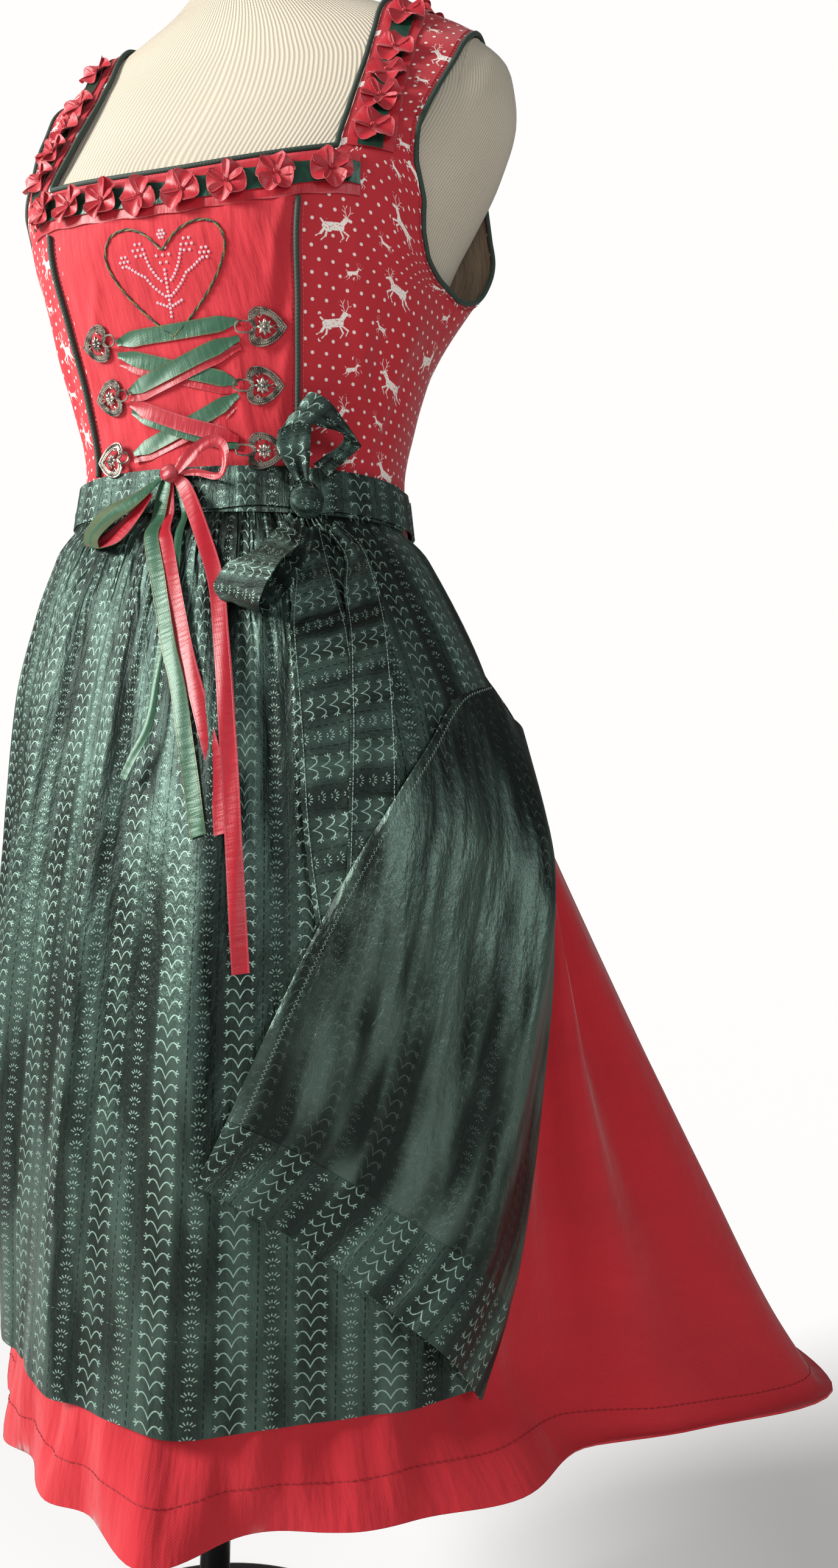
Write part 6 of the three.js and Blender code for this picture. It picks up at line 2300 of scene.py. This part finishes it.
@dataclass
class Ties:
    """The waistband, the ties round the waist and their bow."""

    RIGHT = Table("angle low high out", [(-252, 1006, 1037, 1.6), (-20, 1005, 1038, 1.6),
                                         (15, 1006, 1038, 1.6), (35, 1009, 1035, 1.6), (46, 1008, 1022, 1.6)])
    LEFT = Table("angle low high out", [(50, 1002, 1020, 1.6), (60, 1007, 1036, 1.6), (96, 1006, 1037, 1.6),
                                        (102, 1006, 1037, 0), (268, 1006, 1037, 0)])
    UPPER = np.array([
        (94, -97, 1024.6, 103, -93.2, 1024.4), (79, -96, 1047, 102, -90, 1052),
        (79, -97, 1060, 103, -92, 1068), (83, -99, 1063, 102, -98, 1087), (99, -102, 1065, 116, -95, 1083),
        (114, -97, 1062, 126, -85, 1070), (125, -86, 1060, 133, -71, 1056), (121, -77, 1055, 129, -64, 1054),
        (109, -79, 1047, 122, -78, 1040), (104, -88, 1039, 114, -84, 1030)], float)
    LOWER = np.array([
        (94, -105, 999, 107, -110, 991), (88, -119, 984, 114, -131, 972), (79, -135, 967, 111, -149, 959),
        (66, -143, 958, 109, -159, 948), (61, -148, 947, 107, -165, 939), (58, -147, 942, 103, -165, 929),
        (59, -145, 937, 100, -160, 924), (65, -143, 932, 97, -151, 921), (77, -138, 942, 102, -146, 924),
        (89, -124, 961, 110, -134, 942), (97, -110, 979, 115, -117, 966),
        (100, -101, 992, 113, -104, 986)], float)
    TAIL_FRONT = ((48.5, 990, 3), (46.9, 960, 3), (45.9, 926, 3), (45.8, 906, 3), (45.5, 863, 3),
                  (45.4, 822, 3), (45.4, 782, 3), (45.9, 750, 3), (46.8, 715, 3), (47.5, 691, 3))
    TAIL_BACK = ((55.1, 994, 6), (58.6, 975, 6), (57.2, 949, 6), (55.6, 916, 6), (53.9, 885, 6),
                 (52.3, 843, 6), (51, 802, 6), (50.1, 762, 6), (49.4, 731, 6))

    BOW_RIPPLE = Ripple(((1.1, 9, 17, 60), (0.5, 15, -23, math.inf)))
    TAIL_RIPPLE = Ripple(((1.2, 11, 40, 110), (0.55, 7, 19, math.inf), (0.35, 9, 9, math.inf)))
    wrinkle_width: float = 1.5
    WRINKLES = (
        (-30, 1014, 30, 1020, 0.9), (-60, 1027, 20, 1030, -0.7), (5, 1012, 46, 1014, 1.1),
        (-90, 1018, -20, 1013, 0.8), (10, 1030, 45, 1018, 0.9), (-160, 1018, -100, 1026, 0.9),
        (-240, 1022, -180, 1016, 0.8), (52, 1011, 90, 1022, 1.0), (54, 1016, 84, 1030, -0.8),
        (120, 1018, 180, 1024, 0.8), (190, 1026, 250, 1018, 0.8))

    def around(self, degrees: Array, low: Array, high: Array, out: Array,
               wrinkles: Sequence[Crease]) -> Patch:
        """A band round the waist.

        Args:
            degrees: Angles in degrees.
            low: Its lower edge.
            high: Its upper edge.
            out: How far out of the surface.
            wrinkles: Its creases.

        Returns:
            The band's net.
        """
        t = np.linspace(0, 1, 17)
        at = np.broadcast_to(degrees[:, None], (len(degrees), 17))
        z = mix(low[:, None], high[:, None], t[None])
        edge = np.sin(math.pi * t)[None] ** 0.5
        r = SKIRTS.band(at, z) + out[:, None] + creased(wrinkles, at, z) * edge
        uv = np.stack([np.radians(at) * 125, z - 1000], -1)
        return Patch(polar(at, r, z), polar(at, 1, 0), uv, 0, 0)

    def wrap(self, table: Table, wrinkles: Sequence[Crease]) -> Solid:
        """A tie round the waist.

        Args:
            table: Its edges by angle.
            wrinkles: Its creases.

        Returns:
            The tie.
        """
        degrees = spaced(float(table.at[0]), float(table.at[-1]), 1.2)
        low, high, out = (table.get(name, degrees) for name in ("low", "high", "out"))
        return shell([self.around(degrees, low, high, out, wrinkles)], 1.0)

    def build(self, p: Palette) -> None:
        """Makes the pieces.

        Args:
            p: The finishes.
        """
        degrees = spaced(-90, 90, 1.0)
        flat = np.zeros(len(degrees))
        band = self.around(degrees, flat + SKIRTS.band_low, flat + SKIRTS.band_high, flat, ())
        made = piece("waistband", shell([band], 1.6), [p.tie], ["apron_band"])
        sheet_of(made, 36)
        wrinkles = creases_of([(*row, self.wrinkle_width) for row in self.WRINKLES])
        right = piece("tie_round_right", self.wrap(self.RIGHT, wrinkles), [p.tie],
                      ["tie_wrap_right"])
        sheet_of(right, 60, 0.7 * 60 * 700)
        left = piece("tie_round_left", self.wrap(self.LEFT, wrinkles), [p.tie],
                     ["tie_wrap_left"])
        sheet_of(left, 60, 0.7 * 60 * 520)
        piece("bow_centre", lump((13, 9.4, 13), polar(47.9, 136.2, 1011), 47.9, 7, 0.09), [p.tie],
              ["bow_knot"])
        for name, edges, node, wide, long in (("bow_top", self.UPPER, "bow_loop_upper", 25, 130),
                                              ("bow_under", self.LOWER, "bow_loop_lower", 42, 150)):
            loop = between(edges[:, :3], edges[:, 3:], 2.5, 14, 0, 0.0, self.BOW_RIPPLE)
            made = piece(name, shell([loop], 0.9), [p.tie], [node])
            sheet_of(made, wide)
        self.tail(p, "tail_upper", "tie_tail_front", self.TAIL_FRONT, (20, 42))
        self.tail(p, "tail_lower", "tie_tail_back", self.TAIL_BACK, (16, 30))

    def tail(self, p: Palette, name: str, node: str, rows: Sequence[tuple[float, float, float]],
             wide: tuple[float, float]) -> None:
        """One hanging end of a tie, with its sewn edges.

        Args:
            p: The finishes.
            name: The piece's name.
            node: The node it stands for.
            rows: Angle, height and distance out.
            wide: Widths at both ends.
        """
        first, second = draped(rows, *wide, 0.3)
        net = between(first, second, 3.0, 14, 0, 0.4, self.TAIL_RIPPLE)
        made = piece(name, shell([net], 0.9), [p.tie], [node])
        sheet_of(made, wide[1])
        for side, column in (("a", 1), ("b", -2)):
            line = net.points[:, column] + net.normals[:, column] * 0.25
            piece(f"{name}_stitch_{side}", stitches(line, net.normals[:, column], 2.2, 1.2, 0.24),
                  [p.thread_pale])


# ---- lacing and hooks -------------------------------------------------------


@dataclass(frozen=True)
class Stretch:
    """One stretch of lacing between two hooks: x, height and distance out of its points."""

    node: str
    points: tuple[tuple[float, float, float], ...]
    red: bool


@dataclass
class Lacing:
    """Two satin ribbons that run between the heart hooks, their knot, loops and free ends."""

    form: Bodice = field(default_factory=Bodice)
    ribbon: float = 11.5
    under: float = 10.5
    under_down: float = 5.6
    under_back: float = 0.95
    thin: float = 6.0
    span: float = 104.0  # of ribbon from hook to hook
    cloth: float = 0.5
    STRETCHES = (
        Stretch("lace_top", ((-51, 1134, 0.5), (-30, 1135, 0.8), (0, 1136, 0.8), (30, 1138, 0.8),
                             (51, 1140, 0.5)), False),
        Stretch("lace_1_down", ((-51, 1126, 1.2), (-28, 1119, 1.3), (0, 1111, 1.3), (28, 1104, 1.3),
                                (46, 1099, 1.2)), False),
        Stretch("lace_1_up", ((51, 1129, 1.2), (26, 1121, 2.8), (0, 1112, 2.9), (-26, 1104, 2.6),
                              (-45, 1099, 1.2)), False),
        Stretch("lace_2_down", ((-45, 1091, 1.2), (-26, 1083, 2.8), (0, 1073, 2.9), (26, 1065, 2.8),
                                (44, 1059, 2.8)), True),
        Stretch("lace_2_up", ((46, 1091, 1.2), (26, 1081, 1.3), (0, 1070, 1.3), (-26, 1060, 1.3),
                              (-44, 1053, 3)), False),
    )
    TO_RIGHT = np.array([
        (-13.6, -107, 1031.5, -11.6, -108.2, 1027.2), (-36, -110, 1018, -27, -120, 1006),
        (-63, -107, 1008, -42, -125, 993), (-80, -104, 995, -51, -129, 982), (-81, -106, 986, -52, -128, 976),
        (-72, -114, 979, -49, -128, 974), (-53, -117, 987, -33, -128, 979), (-33, -113, 1006, -23, -119, 998),
        (-20, -109, 1019, -15, -114, 1014)], float)
    TO_LEFT = np.array([
        (-0.5, -108, 1037, 2.5, -107.5, 1031), (9, -110.5, 1047, 13, -109, 1038),
        (23, -111, 1056, 24, -108.5, 1047), (35, -110.5, 1058, 33, -107.5, 1050),
        (44, -110, 1052, 38, -107.5, 1046), (46, -110, 1039, 40, -109, 1037),
        (42, -109.5, 1028, 37, -109, 1031), (33, -107, 1026, 30, -107, 1032),
        (18, -106, 1030, 18, -107, 1035), (3.2, -106, 1031, 3.2, -107, 1035)], float)
    TAILS = {
        "green": ((-4.4, 1031, 5), (-5.5, 1021, 4.4), (-6, 999, 5.4), (-4.4, 987, 5.4), (-2.4, 976, 4.6),
                  (2.3, 954, 4), (5.8, 932, 4), (10.4, 899, 4), (14.4, 869, 4), (19.5, 807, 4),
                  (21.8, 769, 4)),
        "red": ((-1.2, 1031, 5), (4.6, 1020, 4.6), (15.5, 982, 4), (21.2, 948, 4), (23.8, 908, 4),
                (25.7, 861, 4), (27.5, 800, 4), (28.8, 740, 4), (30, 682, 4)),
        "red_short": ((-3.4, 1026, 2.6), (-3.2, 1005, 3.0), (-3.0, 998, 3.2), (-0.2, 986, 3.2),
                      (2.9, 975, 2.8), (9.6, 936, 2.6), (13.6, 908, 2.6), (17.1, 881, 2.6), (21.5, 844, 2.6),
                      (24.9, 807, 2.6), (26.2, 771, 2.6)),
        "green_thin": ((-1.0, 1026, 2.2), (4.2, 1004, 1.4), (6.2, 983, 1.2), (8.5, 944, 1.2), (7.8, 913, 1.2),
                       (7.8, 877, 1.2), (7.5, 842, 1.2), (4.4, 818, 1.2), (2.7, 805, 1.2)),
    }
    LACE_RIPPLE = Ripple(((0.15, 5, 8, math.inf), (0.1, 3, 5, math.inf)))
    LOOP_RIPPLE = Ripple(((0.5, 6, 11, math.inf),))
    TAIL_RIPPLE = Ripple(((0.5, 4, 23, math.inf), (0.3, 0, 11, math.inf)))
    LENGTHS = {"green": 262, "red": 345, "red_short": 232, "green_thin": 200}

    def stretch(self, points: Sequence[tuple[float, float, float]], width: float, down: float,
                back: float) -> Patch:
        """A ribbon between two hooks, narrowed where it is threaded.

        Args:
            points: Places on its middle.
            width: Its width.
            down: How far down it is moved.
            back: How far back it is moved.

        Returns:
            The ribbon's net.
        """
        line = through(np.array(points, float), 44)
        middle, out = self.form.front(line[:, 0], line[:, 1] - down, line[:, 2] + 0.7 - back)
        across = unit(np.cross(ways(middle), out))
        t = np.linspace(0, 1, 44)
        wide = width * (0.4 + 0.6 * smooth(np.minimum(t, 1 - t), 0, 0.2))[:, None]
        half = across * wide / 2
        net = between(middle - half, middle + half, 2.4, 6, 0, 0.25, self.LACE_RIPPLE)
        facing = float(np.sign((net.normals[20, 3] * out[20]).sum()))
        return Patch(net.points, net.normals * facing, net.uv, 0, 0)

    def build(self, p: Palette) -> None:
        """Makes the pieces.

        Args:
            p: The finishes.
        """
        for stretch in self.STRETCHES:
            upper, lower = (p.red, p.green) if stretch.red else (p.green, p.red)
            name = stretch.node.replace("lace", "ribbon")
            first = piece(name, shell([self.stretch(stretch.points, self.ribbon, 0, 0)], 0.4), [upper],
                          [stretch.node])
            sheet_of(first, self.ribbon)
            if stretch.node != "lace_top":
                under = self.stretch(stretch.points, self.under, self.under_down, self.under_back)
                second = piece(f"{name}_under", shell([under], 0.3), [lower])
                sheet_of(second, self.under)
        piece("ribbon_knot", lump((8, 5.5, 7), polar(-3, 106.4, 1033), -3, 5, 0.12), [p.red],
              ["lace_knot"])
        for side, edges, slot, wide, long in (("right", self.TO_RIGHT, Slot.SATIN_GREEN, 18, 170),
                                              ("left", self.TO_LEFT, Slot.SATIN_RED, self.ribbon, 85)):
            net = between(edges[:, :3], edges[:, 3:], 2.0, 8, 1, 0.0, self.LOOP_RIPPLE)
            made = piece(f"ribbon_loop_{side}", shell([net], self.cloth), [p.green, p.red],
                         [f"lace_loop_{side}"])
            sheet_of(made, wide)
        for name, rows in self.TAILS.items():
            wide = self.thin if name.endswith("thin") else self.ribbon
            first, second = draped(rows, wide / 2, wide, 0.12)
            net = between(first, second, 3.0, 6, 0, 0.3, self.TAIL_RIPPLE)
            finish, slot = (p.green, Slot.SATIN_GREEN) if "green" in name else (p.red, Slot.SATIN_RED)
            made = piece(f"ribbon_tail_{name}", shell([net], self.cloth), [finish],
                         [f"lace_tail_{name}"])
            sheet_of(made, max(wide, 10.0),
                     wide * self.LENGTHS[name])


@dataclass
class Hooks:
    """Filigree heart hooks with granulated rims and a wire staple for the ribbon."""

    form: Bodice = field(default_factory=Bodice)
    ROWS = ((1, 72.0, 1136.0, 0.8), (2, 66.0, 1097.0, 0.8), (3, 65.0, 1049.0, 5.4))
    length: float = 27.0
    half: float = 13.0
    middle: float = 0.42  # share of the length, from the notch, at which the flower sits

    def outline(self, scale: float, count: int = 90) -> Array:
        """The heart's outline, tip along x, drawn in by a scale about its middle.

        Args:
            scale: The scale.
            count: How many steps round it.

        Returns:
            The outline.
        """
        long, half_wide = self.length, self.half
        halves = [((1, 0), (0.75, 0.75), (0.5, 1), (0.26, 1)),
                  ((0.26, 1), (-0.08, 1), (-0.08, 0.2), (0.16, 0))]
        t = np.linspace(0, 1, 40)[:, None]
        points = []
        for bezier in halves:
            a, b, c, d = (np.array((long * x, half_wide * y)) for x, y in bezier)
            points.append(a * (1 - t) ** 3 + 3 * b * t * (1 - t) ** 2 + 3 * c * t**2 * (1 - t) + d * t**3)
        half = np.concatenate([points[0], points[1][1:]])
        whole = np.concatenate([half, half[::-1][1:-1] * (1, -1)])
        middle = np.array([long * self.middle, 0])
        whole = middle + (whole - middle) * scale
        closed = np.concatenate([whole, whole[:1]])
        lengths = run_of(closed)
        where = np.linspace(0, lengths[-1], count + 1)
        return vectors(np.interp(where, lengths, closed[:, 0]), np.interp(where, lengths, closed[:, 1]), 0)

    def ring(self, line: Array, radius: float) -> Solid:
        """A closed wire along a flat outline.

        Args:
            line: The outline.
            radius: The wire's radius.

        Returns:
            The wire.
        """
        loop = line[:-1]
        along = unit(np.roll(loop, -1, 0) - np.roll(loop, 1, 0))
        up = np.array([0, 0, 1.0])
        across = np.cross(along, up)
        turn = turns_of(6)
        aside, above = across[:, None] * np.cos(turn)[:, None], up * np.sin(turn)[:, None]
        section = loop[:, None] + aside * radius + above * radius
        whole = np.concatenate([section, section[:1]])
        return rings(whole, 0.0, False)

    @staticmethod
    def wire(points: Sequence[tuple[float, float, float]], count: int, radius: float,
             sides: int = 5) -> Solid:
        """A bent wire through points."""
        return tube(through(np.array(points), count), np.tile([0, 0, 1.0], (count, 1)), radius, sides)

    def heart(self) -> Solid:
        """One hook, lying flat with its tip along x.

        Returns:
            The hook.
        """
        made = [self.ring(self.outline(1.0) + (0, 0, 0.9), 0.75),
                self.ring(self.outline(0.76) + (0, 0, 1.0), 0.55)]
        beads = self.outline(0.885, 46)[:-1] + (0, 0, 0.9)
        bead = dome(0.85, 1.0, 7)
        made += [bead.placed(np.eye(3), q) for q in beads]
        small = dome(0.5, 0.7, 6)
        made += [small.placed(np.eye(3), q + (0, 0, 0.2)) for q in self.outline(0.68, 40)[:-1]]
        plate = self.outline(0.93, 60)[:-1]
        inner = self.outline(0.66, 60)[:-1]
        edges = ((plate, 0.1), (plate, 1.0), (inner, 1.0), (inner, 0.1), (plate, 0.1))
        loops = np.stack([edge + (0, 0, height) for edge, height in edges], 0)
        made.append(rings(loops, 0.0, False))
        centre = np.array([self.length * self.middle, 0, 1.2])
        for k in range(8):
            turn = math.radians(45 * k)
            c, s = math.cos(turn), math.sin(turn)
            lift = np.linspace(0.02, 1, 9)
            width = 1.25 * np.sin(math.pi * (0.1 + 0.88 * lift)) ** 0.7 + 0.08
            way = centre + np.stack([6.0 * lift * c, 6.0 * lift * s, 0.7 * np.sin(math.pi * lift)], 1)
            made.append(tube(way, np.tile([0, 0, 1.0], (9, 1)), width, 6, 0.45))
        made.append(dome(1.7, 1.6, 12, 3).placed(np.eye(3), centre + (0, 0, 0.4)))
        for k in range(7):
            turn = 2 * math.pi * k / 7
            made.append(small.placed(np.eye(3), centre + (1.9 * math.cos(turn), 1.9 * math.sin(turn), 0.9)))
        for side in (1, -1):
            staple = [(4.5, side * 2.0, 0.9), (0.5, side * 3.6, 1.5), (-6, side * 3.9, 2.3),
                      (-9.5, side * 2.6, 2.3), (-10.4, 0, 2.2)]
            arm = [(17.5, side * 0.6, 1.0), (20, side * 1.4, 1.3), (22, 0, 1.1)]
            scroll = [(8.0, side * 6.2, 1.1), (6.0, side * 8.0, 1.2), (7.6, side * 9.4, 1.2),
                      (9.2, side * 8.2, 1.2), (8.2, side * 7.2, 1.2)]
            made += [self.wire(staple, 20, 0.75, 7), self.wire(arm, 8, 0.45), self.wire(scroll, 16, 0.42)]
        whole = joined(made)
        return Solid(whole.vertices - (self.length / 2, 0, 0), whole.faces, whole.uv, whole.finishes)

    def build(self, p: Palette) -> None:
        """Makes the six hooks.

        Args:
            p: The finishes.
        """
        heart = self.heart()
        for row, x, z, out in self.ROWS:
            for name, side in (("left", 1), ("right", -1)):
                points, normals = self.form.front(np.array([side * x]), np.array([z]), np.array([out]))
                n = normals[0]
                tip = unit(np.cross([0, 0, 1.0], n)) * side
                up = unit(np.cross(n, tip))
                hook = heart.placed(np.array([tip, up, n]), points[0])
                piece(f"heart_{name}_{row}", hook, [p.silver], [f"hook_{name}_{row}"], 40)


@dataclass
class Emblem:
    """A corded heart with a small spray of stones, sewn to the front panel."""

    form: Bodice = field(default_factory=Bodice)
    SPRAY = (
        ((0, 1146), (0, 1152), (0, 1158), (0, 1164), (0, 1170), (0, 1176)),
        ((0, 1158), (-6, 1162), (-12, 1167), (-17, 1173)), ((0, 1158), (6, 1162), (12, 1167), (17, 1173)),
        ((0, 1166), (-7, 1172), (-12, 1179), (-15, 1187)), ((0, 1166), (7, 1172), (12, 1179), (15, 1187)),
        ((-17, 1173), (-23, 1176), (-29, 1180)), ((17, 1173), (23, 1176), (29, 1180)),
        ((0, 1152), (-5, 1154), (-10, 1156)), ((0, 1152), (5, 1154), (10, 1156)),
    )
    FLOWERS = ((0, 1185, 5.2), (-20, 1190, 4.2), (20, 1190, 4.2), (-33, 1184, 3.4), (33, 1184, 3.4),
               (0, 1198, 2.6))

    def outline(self) -> Array:
        """The heart's outline: distances from the middle and heights.

        Returns:
            The outline.
        """
        points = np.array([(0, 1133), (14, 1143), (30, 1158), (43, 1174), (49, 1189), (43, 1201), (29, 1204),
                           (14, 1199), (0, 1188)], float)
        half = through(points, 60)
        return np.concatenate([half, (half * (-1, 1))[::-1][1:]])

    def build(self, p: Palette) -> None:
        """Makes the cord and the stones.

        Args:
            p: The finishes.
        """
        line = evened(np.concatenate([self.outline(), np.zeros((119, 1))], 1), 1.2)
        points, normals = self.form.front(line[:, 0], line[:, 1], np.full(len(line), 0.8))
        across = unit(np.cross(ways(points), normals))
        run = np.arange(len(line)) * 0.55
        made = []
        for phase in (0.0, math.pi):
            swing = across * np.cos(run + phase)[:, None] * 0.5 + normals * np.sin(run + phase)[:, None] * 0.4
            made.append(tube(points + swing, normals, 0.6, 6).finished(0 if phase else 1))
        piece("emblem_cord", joined(made), [p.cord, p.gold])
        stone = dome(1.2, 1.1, 8)
        spots = [tuple(spot) for stem in self.SPRAY
                 for spot in evened(vectors(*np.array(stem, float).T, 0), 2.9)[:, :2]]
        for x, z, reach in self.FLOWERS:
            spots += [(x + reach * math.cos(a), z + reach * math.sin(a)) for a in turns_of(6)] + [(x, z)]
        kept: list[tuple[float, float]] = []
        for spot in spots:
            if all(math.hypot(spot[0] - q[0], spot[1] - q[1]) > 2.3 for q in kept):
                kept.append(spot)
        places = np.array(kept, float)
        points, normals = self.form.front(places[:, 0], places[:, 1], np.full(len(places), 0.1))
        axes = frames_on(points, normals, np.tile([1.0, 0, 0], (len(places), 1)))
        piece("emblem_stones", copies(stone, points, axes), [p.stone], (), 30)


# ---- the studio -------------------------------------------------------------


@dataclass
class Studio:
    """Camera, lights and a plain room."""

    eye: tuple[float, float, float] = (0.4712, -0.8675, 0.825)
    aim: float = 19.602
    pitch: float = 1.245
    roll: float = 1.774
    lens: float = 26.72

    def camera(self) -> None:
        """Places the camera."""
        aim, pitch, roll = (math.radians(v) for v in (self.aim, self.pitch, self.roll))
        ahead = Vector((-math.sin(aim) * math.cos(pitch), math.cos(aim) * math.cos(pitch), -math.sin(pitch)))
        right = Vector((math.cos(aim), math.sin(aim), 0))
        up = right.cross(ahead)
        across = right * math.cos(roll) + up * math.sin(roll)
        upward = up * math.cos(roll) - right * math.sin(roll)
        camera = bpy.data.objects.new("camera", bpy.data.cameras.new("camera"))
        camera.data.lens = self.lens
        camera.data.sensor_width = 36.0
        turn = Matrix((across, upward, -ahead)).transposed().to_4x4()
        camera.matrix_world = Matrix.Translation(self.eye) @ turn
        bpy.context.scene.collection.objects.link(camera)
        bpy.context.scene.camera = camera

    def light(self, name: str, at: tuple[float, float, float], to: tuple[float, float, float], size: float,
              power: float, colour: tuple[float, float, float] = (1, 1, 1)) -> None:
        """Adds a soft square light that faces a point.

        Args:
            name: Its name.
            at: Where it is.
            to: What it faces.
            size: Its side in metres.
            power: Its power in watts.
            colour: Its colour.
        """
        lamp = bpy.data.lights.new(name, "AREA")
        lamp.size = size
        lamp.energy = power
        lamp.color = colour
        holder = bpy.data.objects.new(name, lamp)
        holder.location = at
        holder.rotation_euler = (Vector(to) - Vector(at)).to_track_quat("-Z", "Y").to_euler()
        bpy.context.scene.collection.objects.link(holder)

    def room(self) -> None:
        """A wide floor that only catches shadows."""
        finish = Finish("backdrop", "f4f3f1", 0.95, specular=0.1).material()
        mesh = bpy.data.meshes.new("floor")
        reach = 14.0
        mesh.from_pydata([(-reach, -reach, -0.001), (reach, -reach, -0.001), (reach, reach, -0.001),
                          (-reach, reach, -0.001)], [], [(0, 1, 2, 3)])
        mesh.materials.append(finish)
        floor = bpy.data.objects.new("floor", mesh)
        floor.is_shadow_catcher = True
        bpy.context.scene.collection.objects.link(floor)

    def build(self) -> None:
        """Sets up the picture."""
        scene = bpy.context.scene
        scene.view_settings.view_transform = "Standard"
        world = bpy.data.worlds.new("room")
        scene.world = world
        world.use_nodes = True
        tree = world.node_tree
        background = tree.nodes["Background"]
        background.inputs["Color"].default_value = (1.0, 0.99, 0.975, 1)
        share = tree.nodes.new("ShaderNodeMapRange")
        share.inputs["To Min"].default_value = 0.22
        share.inputs["To Max"].default_value = 1.0
        tree.links.new(tree.nodes.new("ShaderNodeLightPath").outputs["Is Camera Ray"], share.inputs["Value"])
        tree.links.new(share.outputs[0], background.inputs["Strength"])
        self.light("key", (-2.3, -1.9, 2.1), (0.0, 0.0, 0.9), 1.1, 175.0, (1.0, 0.97, 0.94))
        self.light("fill", (2.1, -2.1, 1.9), (0.0, 0.0, 0.8), 0.9, 24.0, (0.96, 0.98, 1.0))
        self.room()
        self.camera()


def main() -> None:
    """Loads the frame and builds everything on it."""
    logging.basicConfig(level=logging.INFO, format="%(name)s %(message)s")
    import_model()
    palette = Palette()
    for part in (DressForm(), BodicePieces(), Trim(), SkirtPieces(), Ties(), Lacing(), Hooks(), Emblem()):
        part.build(palette)
    Studio().build()
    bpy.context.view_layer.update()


if __name__ == "__main__":
    main()
